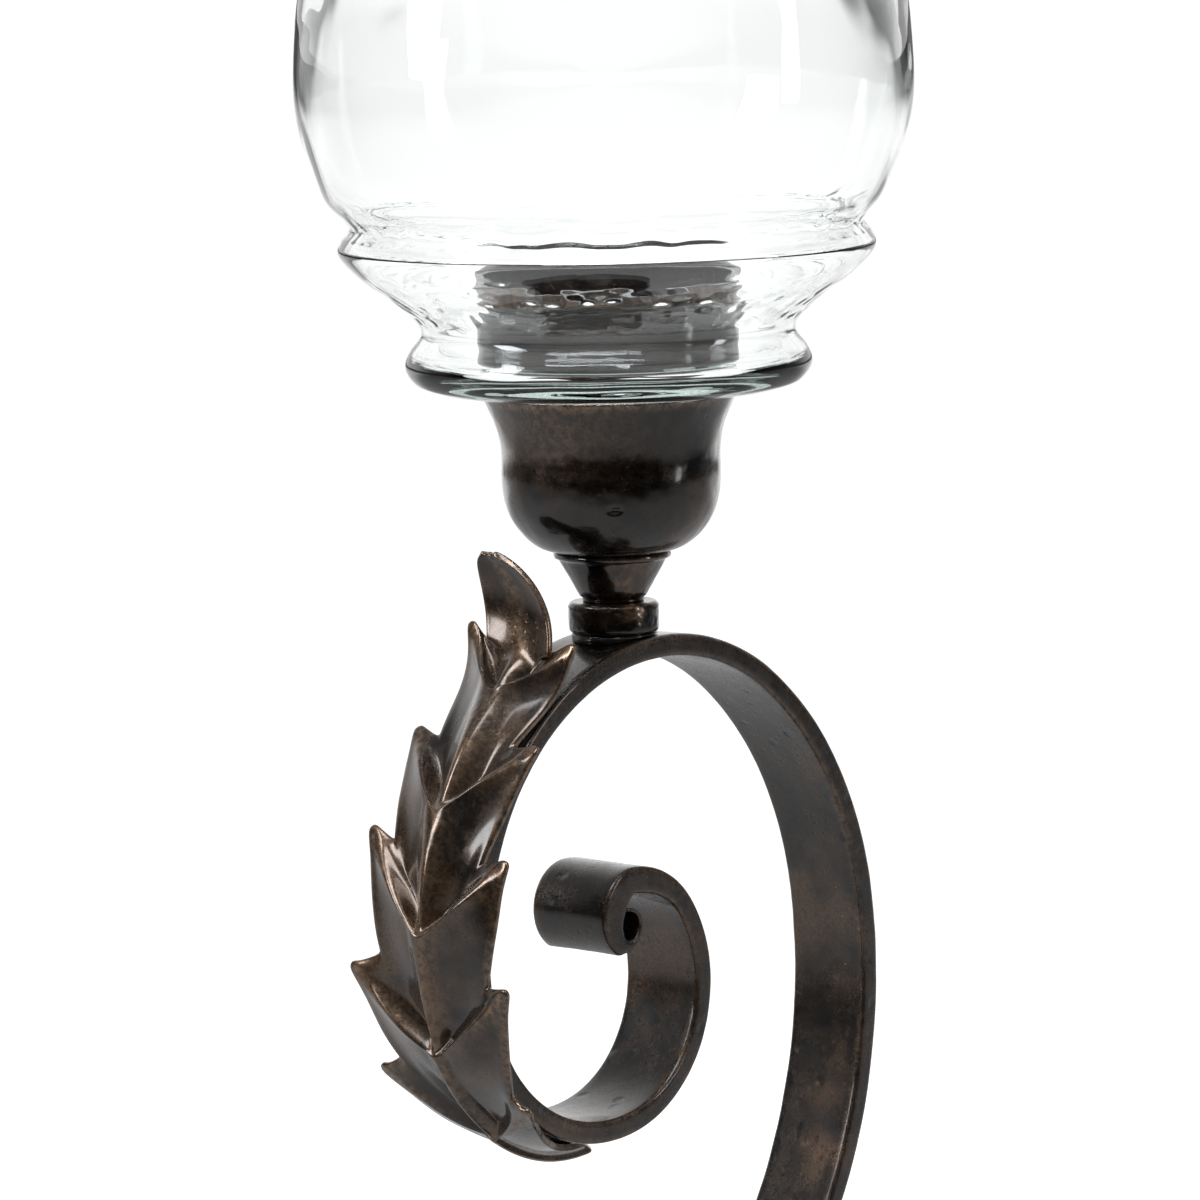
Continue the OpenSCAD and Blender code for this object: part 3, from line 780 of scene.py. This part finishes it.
def saddle(name, node, centre, radius, flat_z, arc_over):
    """Weld between a collar's flat face and the bar's curve, with a ragged
    outer surface. arc_over says whether the bar lies under the weld."""
    ring_count, around, r0 = 6, 96, 13.2
    verts, faces, wear_and_sheen = [], [], []

    def bar_z(x):
        h = math.sqrt(radius ** 2 - (x - centre.x) ** 2)
        return centre.y + (h if arc_over else -h)

    for i in range(ring_count + 1):
        s = i / ring_count
        for k in range(around):
            a = TAU * k / around
            x, y = math.cos(a), math.sin(a)
            rag = 0.55 * grain((x * 8, y * 8, 3 * i), 2.6, 4.0)
            r = r0 + 0.5 * math.sin(math.pi * s) + rag * math.sin(math.pi * clamp(s, 0.12, 0.88))
            verts.append((r * x, r * y, lerp(flat_z, bar_z(r * x), s)))
            wear_and_sheen.append(0.0)
    faces += ring_faces(0, ring_count + 1, around)
    faces.append(tuple(range(around)))
    centre_v = len(verts)
    verts.append((0, 0, bar_z(0)))
    wear_and_sheen.append(0.0)
    p = ring_count * around
    for k in range(around):
        faces.append((p + k, centre_v, p + (k + 1) % around))
    piece(name, verts, faces, "stand", WELD, [node], None, wear_and_sheen)


saddle("collar_bead", "collar_weld", loop_c, LOOP_R, low("collar").z, True)
saddle("foot_bead", "foot_weld", heel_c, HEEL_R, high("foot_collar").z, False)

# ---- turned parts of the stand


def dented(depth, size, seed, squash=1.0):
    """Small unevenness of hand-finished castings, always inwards."""
    def form(r, z, a):
        g = grain(spot(r, z * squash, a), size, seed)
        g += 0.45 * grain(spot(r, z, a), size / 3, seed + 5)
        return r - depth * clamp(0.5 + g * 0.7, 0, 1.2), z
    return form


def turned_piece(name, profile, nodes, body="stand", material=CAST,
                 segments=144, form=None, wear_and_sheen=None, step=1.2):
    """A piece turned from a profile. The copper mask, a function of (r, z, angle), says where
    the paint has gone; on the cup, cone and collar it also holds painted highlights.
    """
    rows = fine(profile, step)
    verts, faces, uv = lathe_mesh(rows, segments, form)
    values = None
    if wear_and_sheen:
        values = [clamp(wear_and_sheen(math.hypot(x, y), z, math.atan2(y, x))) for x, y, z in verts]
    return piece(name, verts, faces, body, material, nodes, uv, values)


def blob(a, centre_deg, width_deg):
    """1 at an angle round the axis, falling to 0 at width_deg from it."""
    d = abs((math.degrees(a) - centre_deg + 180) % 360 - 180)
    return 1 - ramp(0, width_deg, d)


ROD_R, BORE_R = 3.95, 4.03
CUP_Z = low("bell_cup").z
CUP_H, CUP_R, MOUTH_R, CUP_WALL, CUP_FLOOR = 51.0, 35.2, 41.0, 2.4, 4.0
CONE_R, CONE_NECK, CONE_H, NECK_H = 18.9, 11.2, 14.4, 1.6
COLLAR_R, COLLAR_H, COLLAR_EDGE = 14.7, 10.0, 1.7

cup_outer = smooth([(CONE_R - 0.4, 0), (24.5, 2.2), (30.2, 7.6), (33.8, 14.5), (CUP_R, 23),
                    (CUP_R - 0.1, 31), (CUP_R + 0.5, 36.5), (37, 41.5), (39.2, 46.8),
                    (MOUTH_R - 0.5, CUP_H - 1.6), (MOUTH_R, CUP_H - 0.8)], 6)
cup_inner = smooth([(20, CUP_FLOOR), (27, 7.6), (31.4, 14.5), (CUP_R - CUP_WALL, 23),
                    (CUP_R - CUP_WALL, 31), (CUP_R - CUP_WALL + 0.6, 36.5), (34.8, 41.5), (36.8, 46.8),
                    (MOUTH_R - CUP_WALL, CUP_H)], 6)
cup_profile = [(BORE_R, 0), *cup_outer, (MOUTH_R - 0.3, CUP_H - 0.2), (MOUTH_R - 0.9, CUP_H),
               *reversed(cup_inner), (BORE_R, CUP_FLOOR)]
cup_profile = [(p[0], p[1] + CUP_Z) for p in cup_profile]

# One casting pit on the side that faces the camera.
PIT_A, PIT_Z, PIT_DEPTH = -136.0, CUP_Z + 16.5, 1.3


def cup_form(r, z, a):
    """The cup's unevenness, and its pit low down on the outside."""
    base = dented(0.35, 14.0, 2.0)(r, z, a)[0]
    across = ((math.degrees(a) - PIT_A + 180) % 360 - 180) * math.pi / 180 * r
    near = math.hypot(across / 2.6, (z - PIT_Z) / 1.5)
    if r > 30 and z < CUP_Z + 25:
        base -= PIT_DEPTH * (1 - ramp(0.2, 1.1, near))
    return base, z


# Copper mask: paint lost at the rim, and a painted highlight, a soft stripe left of the side that faces
# the camera, on the upper part.
turned_piece("cup", cup_profile, ["bell_cup"], form=cup_form, segments=240, step=1.0,
             wear_and_sheen=lambda r, z, a: (0.5 * ramp(CUP_H - 4, CUP_H - 0.5, z - CUP_Z) if r > MOUTH_R - 3 else 0)
             + 0.22 * blob(a, -170, 70) * ramp(20, 30, z - CUP_Z))


def cone_profile(z0, up):
    """A cone with its neck's shoulder at z0, widening up or down."""
    s = 1 if up else -1
    neck = CONE_NECK - 1.2
    rows = [(BORE_R, -NECK_H), (neck - 0.3, -NECK_H), (neck, -NECK_H + 0.3), (neck, -0.4),
            (neck + 0.4, 0), (CONE_NECK - 0.3, 0.2), (CONE_NECK, 0.7),
            (CONE_R - 1.7, CONE_H - 2.7), (CONE_R - 1.3, CONE_H - 2.3), (CONE_R - 0.2, CONE_H - 1.8),
            (CONE_R, CONE_H - 1.2), (CONE_R, CONE_H - 0.6), (CONE_R - 0.6, CONE_H), (BORE_R, CONE_H)]
    return [(r, z0 + s * z) for r, z in rows]


def disc_profile(z0, r, h, e, inner=BORE_R, steps=6):
    """A disc of height h from z0 up, its outer edges rounded by e."""
    return [(inner, z0), *arc_pts((r - e, z0 + e), e, -90, 0, steps),
            *arc_pts((r - e, z0 + h - e), e, 0, 90, steps), (inner, z0 + h)]


# Copper mask: a painted highlight, a mottled stripe just right of the side that faces the camera.
turned_piece("cone", cone_profile(low("cone_ferrule").z + NECK_H, True), ["cone_ferrule"],
             form=dented(0.3, 6.0, 3.0, 0.6), step=0.9,
             wear_and_sheen=lambda r, z, a: 0.5 * blob(a, -125, 30) * clamp(0.6 + grain(spot(r, z, a), 5)))
# Copper mask: painted highlights, a bright stripe right of the side that faces the camera on the upper
# half, and a faint one along the front of the top edge.
turned_piece("collar_ring", disc_profile(low("collar").z, COLLAR_R, COLLAR_H, COLLAR_EDGE),
             ["collar"], form=dented(0.35, 5.0, 6.0, 0.7), step=0.8,
             wear_and_sheen=lambda r, z, a: 0.9 * blob(a, -113, 24) * ramp(3.5, 6.5, z - low("collar").z) * (r > 10)
             + 0.25 * blob(a, -140, 90) * ramp(7.5, 9.5, z - low("collar").z))
turned_piece("foot_ring", disc_profile(low("foot_collar").z, COLLAR_R, COLLAR_H, COLLAR_EDGE),
             ["foot_collar"], form=dented(0.35, 5.0, 9.0, 0.7), step=0.8,
             wear_and_sheen=lambda r, z, a: 0.4 * clamp(grain(spot(r, z, a), 9)))
turned_piece("foot_taper", cone_profile(high("foot_cone").z - NECK_H, False), ["foot_cone"],
             form=dented(0.3, 6.0, 12.0, 0.6), step=0.9,
             wear_and_sheen=lambda r, z, a: 0.3 * clamp(grain(spot(r, z, a), 8)))

BASE_R, BASE_H, BASE_WALL, FELT_T, BOSS_R = 100.0, 26.0, 6.0, 2.0, 21.0
under_z = BASE_H - BASE_WALL - 3.5
foot_outer = smooth([(88, 13.5), (82, 14.2), (72, 15.6), (58, 17.4), (44, 19.6), (33, 22), (26, 24.2)], 6)
foot_inner = smooth([(22, 16.5), (33, 15.4), (44, 13.6), (58, 11.4), (72, 9.4), (82, 8.2), (88, 7.2)], 6)
rim_z = FELT_T
foot_profile = [
    (BASE_R - 7.5, rim_z - 1), (BASE_R - 2, rim_z - 1), (BASE_R - 0.6, rim_z - 0.4), (BASE_R, rim_z + 1),
    (BASE_R, rim_z + 4), (BASE_R - 0.3, rim_z + 4.9), (BASE_R - 1, rim_z + 5.6),
    (BASE_R - 3.2, rim_z + 6.3), (BASE_R - 4.2, rim_z + 7.2), (BASE_R - 4.8, rim_z + 8.6),
    (BASE_R - 6, rim_z + 10), (BASE_R - 8.5, rim_z + 11.2), *foot_outer,
    (BOSS_R + 2, 24.8), (BOSS_R + 0.9, BASE_H - 0.9), (BOSS_R + 0.6, BASE_H - 0.2), (BOSS_R, BASE_H),
    (BORE_R, BASE_H), (BORE_R, under_z), (18, under_z), *foot_inner, (BASE_R - 8, rim_z)]


def foot_form(r, z, a):
    """Slow hollows of a sand casting, on its upper side and inwards only."""
    g = grain(spot(r, 0, a), 22.0, 7.0) + 0.4 * grain(spot(r, z, a), 7.0)
    drop = 0.35 * clamp(0.5 + g, 0, 1.2)
    down = drop * ramp(BOSS_R + 4, 40, r) * ramp(6, 10, z) if z > 12 else 0
    return r - drop * ramp(40, 60, r), z - down


turned_piece("foot", foot_profile, ["foot_casting"], segments=240, form=foot_form, step=2.0,
             wear_and_sheen=lambda r, z, a: 0.75 * ramp(BASE_R - 1.2, BASE_R - 0.2, r) * ramp(3, 5.5, z)
             + 0.5 * (1 - ramp(0.3, 1.6, abs(r - BASE_R + 4.4))) * ramp(7, 9, z))
turned_piece("felt", disc_profile(0, BASE_R - 8.5, FELT_T, 0.7, 0, 4), ["felt_pad"],
             material=FELT, step=4.0,
             form=lambda r, z, a: (r - 0.2 * abs(grain(spot(r, z, a), 2.0)), z))

# ---- rod, nut, bolt

THREAD, THREAD_D = 1.25, 0.35
NUT_R, HEAD_T = 7.5, 5.0


def hexagon(r, a):
    """A radius cut back to the flats of a hexagon as wide as the nut."""
    off = math.radians(math.degrees(a) % 60 - 30)
    return min(NUT_R * math.cos(math.radians(30)) / math.cos(off), r)


def steel_piece(name, node, rows, around, form=None):
    verts, faces, uv = lathe_mesh(rows, around, form)
    piece(name, verts, faces, "stand", STEEL, [node], uv)


def threaded(name, node, z0, z1, head):
    """A rod threaded from z0 to z1, over the profile of its head or end."""
    n = round((z1 - z0) / THREAD * 6)
    rows = head + [(ROD_R, lerp(z0, z1, k / n)) for k in range(n + 1)]
    rows += [(ROD_R - 0.5, z1 + 0.3), (0, z1 + 0.3)]

    def form(r, z, a):
        if abs(r - ROD_R) < 1e-6 and z0 + 0.6 < z < z1 - 0.6:
            f = (z / THREAD - a / TAU) % 1.0
            return r - THREAD_D * (1 - abs(2 * f - 1)), z
        return (hexagon(r, a) if r > ROD_R + 0.5 else r), z

    steel_piece(name, node, rows, 96, form)


threaded("rod", "cup_rod", low("cup_rod").z, high("cup_rod").z - 0.3, [(0, low("cup_rod").z)])
bolt_low = low("foot_bolt").z
threaded("bolt", "foot_bolt", bolt_low + HEAD_T, high("foot_bolt").z - 0.3,
         [(0, bolt_low), (NUT_R - 1.2, bolt_low), (NUT_R - 0.6, bolt_low + 0.3), (NUT_R, bolt_low + 0.7),
          (NUT_R, bolt_low + HEAD_T - 0.3), (NUT_R - 0.4, bolt_low + HEAD_T)])


def build_nut():
    z0, z1 = low("cup_nut").z, high("cup_nut").z
    rows = [(BORE_R, z0), (NUT_R - 0.9, z0), (NUT_R - 0.4, z0 + 0.25), (NUT_R, z0 + 0.6),
            (NUT_R, (z0 + z1) / 2), (NUT_R, z1 - 0.6), (NUT_R - 0.4, z1 - 0.25), (NUT_R - 0.9, z1),
            (BORE_R + 0.5, z1), (BORE_R, z1 - 0.5)]

    def form(r, z, a):
        return (r if r < BORE_R + 1 else hexagon(r, a)), z

    steel_piece("nut", "cup_nut", rows, 120, form)


def washer(name, node):
    z0, z1, r = low(node).z, high(node).z, high(node).x
    rows = [(BORE_R, z0 + 0.2), (BORE_R + 0.2, z0), (r - 0.3, z0), (r, z0 + 0.3), (r, z1 - 0.4),
            (r - 0.4, z1), (BORE_R + 0.3, z1), (BORE_R, z1 - 0.3)]
    steel_piece(name, node, rows, 72)


build_nut()
washer("cup_disc", "cup_washer")
washer("foot_disc", "foot_washer")

GASKET_BORE = 35.5
seat, top = low("seat_gasket").z, high("seat_gasket").z
gasket_rows = [(GASKET_BORE, seat), (MOUTH_R - 1.3, seat), (MOUTH_R - 1, seat + 0.3),
               (MOUTH_R - 1, top - 0.3), (MOUTH_R - 1.3, top), (GASKET_BORE + 0.2, top),
               (GASKET_BORE, top - 0.3)]
verts, faces, uv = lathe_mesh(gasket_rows, 144)
piece("gasket", verts, faces, "stand", SILICONE, ["seat_gasket"], uv)

# ---- the glass

GLASS_Z = high("seat_gasket").z
GLASS_H, GLOBE_R, FOOT_RING_R, RING_R, THROAT_R = 240.0, 98.5, 65.0, 85.5, 62.0
WALL, FLOOR_T = 3.0, 6.0
PLUG_R, PLUG_H = 33.0, 8.0
glass_outer = smooth([
    (54, 0), (61.5, 2.6), (FOOT_RING_R, 8), (63.2, 13.2), (59.6, 18.4), (62, 23.5),
    (70.5, 30.5), (79.5, 37.5), (RING_R, 44.5), (84, 49.2), (81.7, 52.4), (84.3, 56),
    (90, 62.5), (94.6, 74), (97.6, 87), (GLOBE_R, 98), (97.9, 112), (96.4, 126),
    (92, 149), (84, 173), (73.5, 195), (65, 212), (THROAT_R, 224),
    (THROAT_R + 1.6, 233), (THROAT_R + 5.4, GLASS_H - 1.0)], 10)


def parallel(points, gap):
    """The line a constant gap inside a profile, without the loops it makes where
    the profile bends sharply."""
    out = []
    for i, q in enumerate(points):
        t = (points[min(i + 1, len(points) - 1)] - points[max(i - 1, 0)]).normalized()
        inner = q + gap * Vector((-t.y, t.x))
        if min((inner - w).length for w in points) > gap - 0.02:
            out.append(inner)
    return out


INNER_LOW, INNER_HIGH = 10.5, GLASS_H - 5
wall_line = [q for q in parallel(glass_outer, WALL) if INNER_LOW < q.y < INNER_HIGH]
wall_foot = [(50, FLOOR_T), (56, 6.4), (59.6, 7.6), (61.4, 9.2), wall_line[0]]
wall_top = [wall_line[-1], (THROAT_R + 0.6, GLASS_H - 2.4), (THROAT_R + 2.6, GLASS_H - 0.6)]
glass_inner = smooth(wall_foot, 5) + wall_line[1:] + smooth(wall_top, 5)[1:]
glass_rows = [*fine([(0, -PLUG_H), (PLUG_R - 1.2, -PLUG_H)], 4.0),
              (PLUG_R - 0.3, 0.4 - PLUG_H), (PLUG_R, 1.2 - PLUG_H), (PLUG_R, -0.4),
              *fine([(PLUG_R + 0.4, 0), (52, 0)], 3.0), *glass_outer,
              (THROAT_R + 5.2, GLASS_H - 0.4), (THROAT_R + 4.4, GLASS_H), (THROAT_R + 3.4, GLASS_H - 0.1),
              *reversed(glass_inner), *fine([(47, FLOOR_T), (0, FLOOR_T)], 4.0)]
# How uneven the glass is at each height.
BELLY = [(0, 0.0), (20, 0.1), (50, 0.3), (64, 0.8), (100, 1.0), (200, 0.9), (240, 0.15)]
# (height, radius half way through the wall) up the glass.
MID_WALL = sorted((q.y, (q.x + min(glass_inner, key=lambda w: (w - q).length).x) / 2)
                  for q in glass_outer)


def glass_form(r, z, a):
    """Hand-blown unevenness, inwards only: slow waves up the globe, a wavy neck
    and hammer marks on the tapered band."""
    if r < 40:
        return r, z
    x, y = math.cos(a), math.sin(a)
    inside = 3.0 if r < along(MID_WALL, z) else 0.0
    wave = 0.5 + 0.55 * grain((x * 30, y * 30, z * 0.16 + inside), 9.5, 1.0) \
        + 0.2 * grain((x * 30, y * 30, z * 0.2 + inside), 5.0, 8.0)
    rr = r - 0.5 * clamp(wave, 0, 1.2) * along(BELLY, z)
    neck = 1 - ramp(0, 7.5, abs(z - 52.6))
    sag = 1.2 * grain((x * 30, y * 30, 0), 6.0, 3.0) + 0.7 * grain((x * 30, y * 30, 5), 2.6, 4.0)
    zz = z + neck * sag
    band = ramp(21, 25, z) * (1 - ramp(32, 42, z))
    if band > 0.01 and r > along(MID_WALL, z):
        near = noise.voronoi(Vector((76 * x, 76 * y, z * 1.7)) / 7.0)[0]
        rr -= 0.5 * band * (1 - ramp(0.0, 0.62, near[0]))
    low_band = ramp(1, 4, z) * (1 - ramp(14, 19, z))
    rr -= 0.3 * low_band * clamp(0.5 + grain((x * 30, y * 30, z * 0.3), 6.0, 11.0))
    return rr, zz


verts, faces, uv = lathe_mesh(glass_rows, 288, glass_form)
verts = [(x, y, z + GLASS_Z) for x, y, z in verts]
piece("shade_glass", verts, faces, "shade", GLASS, ["glass_shade"], uv)

# ---- the pan

PAN_R, PAN_H, PAN_WALL, PAN_LIP = 42.0, 26.0, 1.8, 1.4
pan_z = low("candle_pan").z
pan_side, pan_lip, pan_in = PAN_R - 0.4, PAN_R + PAN_LIP, PAN_R - PAN_WALL
pan_rows = [
    (0, 0), (PAN_R - 3, 0), (PAN_R - 1.8, 0.4), (PAN_R - 1, 1), (PAN_R - 0.5, 2.2), (pan_side, 3.4),
    (pan_side, PAN_H - 3.4), (PAN_R + 0.2, PAN_H - 2.8), (pan_lip - 0.6, PAN_H - 2.4),
    (pan_lip - 0.4, PAN_H - 1.6), (pan_lip - 0.5, PAN_H - 0.7), (PAN_R + 0.5, PAN_H),
    (pan_in - 0.2, PAN_H), (pan_in - 0.4, PAN_H - 1), (pan_in - 0.4, 3.4), (pan_in - 0.8, 2.4),
    (pan_in - 2, PAN_WALL), (0, PAN_WALL)]


def pan_form(r, z, a):
    """Dents in the pan's side, inwards, and in its rim, downwards."""
    g = grain(spot(r, z, a), 9.0, 5.0)
    top = z > pan_z + PAN_H - 3
    return r - 0.3 * clamp(0.5 + g) * (r > 36), z - (0.45 * clamp(0.5 + g) if top else 0)


turned_piece("pan", [(r, z + pan_z) for r, z in pan_rows], ["candle_pan"], body="pan",
             material=PAN, form=pan_form, segments=180, step=2.0,
             wear_and_sheen=lambda r, z, a: 0.5 * ramp(PAN_R + 0.4, PAN_R + 1, r))


def build_pads():
    verts, faces = [], []
    z0, z1 = low("pan_pads").z, high("pan_pads").z
    rows = [(0, z0), (4.6, z0), (5.0, z0 + 0.4), (5.0, z1 - 0.4), (4.6, z1), (0, z1)]
    for turn in (30, 150, 270):
        c = unit(turn) * (PAN_R - 12)
        v, f, _ = lathe_mesh(rows, 40)
        faces += [tuple(i + len(verts) for i in face) for face in f]
        verts += [(x + c.x, y + c.y, z) for x, y, z in v]
    piece("pads", verts, faces, "pan", SILICONE, ["pan_pads"])


build_pads()

# ---- floor, light, camera

AIM = Vector((0, 0, 0.44))
LOOK_A, LOOK_DOWN, LEAN = math.radians(-47.5), math.radians(7.2), math.radians(1.1)
flat = Vector((-math.sin(LOOK_A), math.cos(LOOK_A), 0))
level = Vector((math.cos(LOOK_A), math.sin(LOOK_A), 0))
forward = flat * math.cos(LOOK_DOWN) - Vector((0, 0, math.sin(LOOK_DOWN)))
upward = level.cross(forward)
right = level * math.cos(LEAN) - upward * math.sin(LEAN)
upward = level * math.sin(LEAN) + upward * math.cos(LEAN)
# The camera, in metres: behind the axis, to its right, and above the bar's top.
BEHIND, ASIDE, ABOVE = 1.983, -0.0043, 0.2615
EYE = level * ASIDE - flat * BEHIND + Vector((0, 0, ABOVE + BAR_TOP * MM))
cam = bpy.data.cameras.new("camera")
cam.lens, cam.sensor_width = 187.5, 36.0
cam_obj = add("camera", cam)
cam_obj.matrix_world = Matrix.Translation(EYE) @ Matrix((right, upward, -forward)).transposed().to_4x4()
bpy.context.scene.camera = cam_obj


def area(name, direction, distance, size, power, colour):
    """A rectangular lamp that shines on the object from a direction."""
    light = bpy.data.lights.new(name, "AREA")
    light.shape = "RECTANGLE"
    light.size, light.size_y = size
    light.energy = power
    light.color = colour
    obj = add(name, light)
    obj.location = AIM + direction.normalized() * distance
    obj.rotation_mode = "QUATERNION"
    obj.rotation_quaternion = direction.to_track_quat("Z", "Y")


def toward(turn, rise):
    """Direction from the object: turn degrees to the right of the camera."""
    a = LOOK_A + math.radians(turn)
    e = math.radians(rise)
    return Vector((math.sin(a) * math.cos(e), -math.cos(a) * math.cos(e), math.sin(e)))


def build_world():
    """White where the camera sees it. It isn't one consistent light: what the
    metal mirrors is a studio that is bright behind, soft above and dim on the
    camera's side, and rays through the glass find white with darker sides."""
    world = bpy.data.worlds.new("studio")
    bpy.context.scene.world = world
    world.use_nodes = True
    n = Nodes(world.node_tree)
    way = n.new("TexCoord").outputs["Generated"]

    round_about = n.span(n.dot(way, toward(8, 0)), -0.95, -0.25, 1.0, 0.075)
    overhead = n.span(n.dot(way, (0, 0, 1)), 0.28, 0.7, 0.0, 0.36)
    studio = n.maths("MAXIMUM", round_about, overhead)
    through = n.maths("MULTIPLY", n.span(n.dot(way, toward(90, 0)), 0.4, 0.9, 1.1, 0.4),
                      n.span(n.dot(way, toward(-90, 0)), 0.45, 0.95, 1.0, 0.7))
    path = n.new("LightPath")
    level = n.blend(path.outputs["Is Transmission Ray"], studio, through)
    level = n.blend(path.outputs["Is Camera Ray"], level, 1.1)
    n.fill(n.tree.nodes["Background"], {"Strength": level, "Color": (1, 1, 1)})


def floor_material():
    """A pale floor, even where the camera sees it. Mirrored in the metal it is
    dim near the object, bright far behind, and ends in front. Rays through the
    glass find it bright, with darker sides."""
    mat, n, bsdf, _ = shader("pale_floor")
    place = n.new("NewGeometry").outputs["Position"]

    sides = n.new("Math", {0: n.dot(place, toward(90, 0))}, operation="ABSOLUTE")
    across = n.span(sides.outputs[0], 1.6, 4.5, 1.0, 0.12)
    sheet = n.maths("MULTIPLY", n.span(n.dot(place, toward(0, 0)), 0.9, 2.0, 1.0, 0.02), across)
    path = n.new("LightPath")
    camera = path.outputs["Is Camera Ray"]
    level = n.blend(camera, n.maths("MULTIPLY", sheet, 0.4), 1.0)
    mirrored = n.maths("MULTIPLY", sheet, n.span(n.dot(place, toward(180, 0)), 1.0, 2.6, 0.24, 0.95))
    through = n.maths("MULTIPLY", across, 0.95)
    glow = n.blend(path.outputs["Is Transmission Ray"], mirrored, through)
    n.fill(bsdf, {"Base Color": n.mix(level, (0.0, 0.0, 0.0), (0.9, 0.9, 0.9)), "Roughness": 0.8,
                  "Specular IOR Level": 0.0, "Emission Color": (1, 1, 1),
                  "Emission Strength": n.blend(camera, glow, 0.72)})
    return mat


def build_floor(half):
    mesh = bpy.data.meshes.new("floor")
    corners = [(-half, -half, 0), (half, -half, 0), (half, half, 0), (-half, half, 0)]
    mesh.from_pydata(corners, [], [(0, 1, 2, 3)])
    mesh.materials.append(floor_material())
    add("floor", mesh)


build_world()
build_floor(60)
area("key_left", toward(-68, 26), 1.7, (0.4, 1.1), 15, (0.90, 0.95, 1.0))
area("fill_right", toward(72, 12), 1.9, (0.22, 1.0), 5, (0.95, 0.97, 1.0))
area("top", toward(-15, 64), 1.6, (1.0, 0.6), 16, (0.92, 0.96, 1.0))

view = bpy.context.scene.view_settings
view.view_transform = "Standard"
view.look = "None"
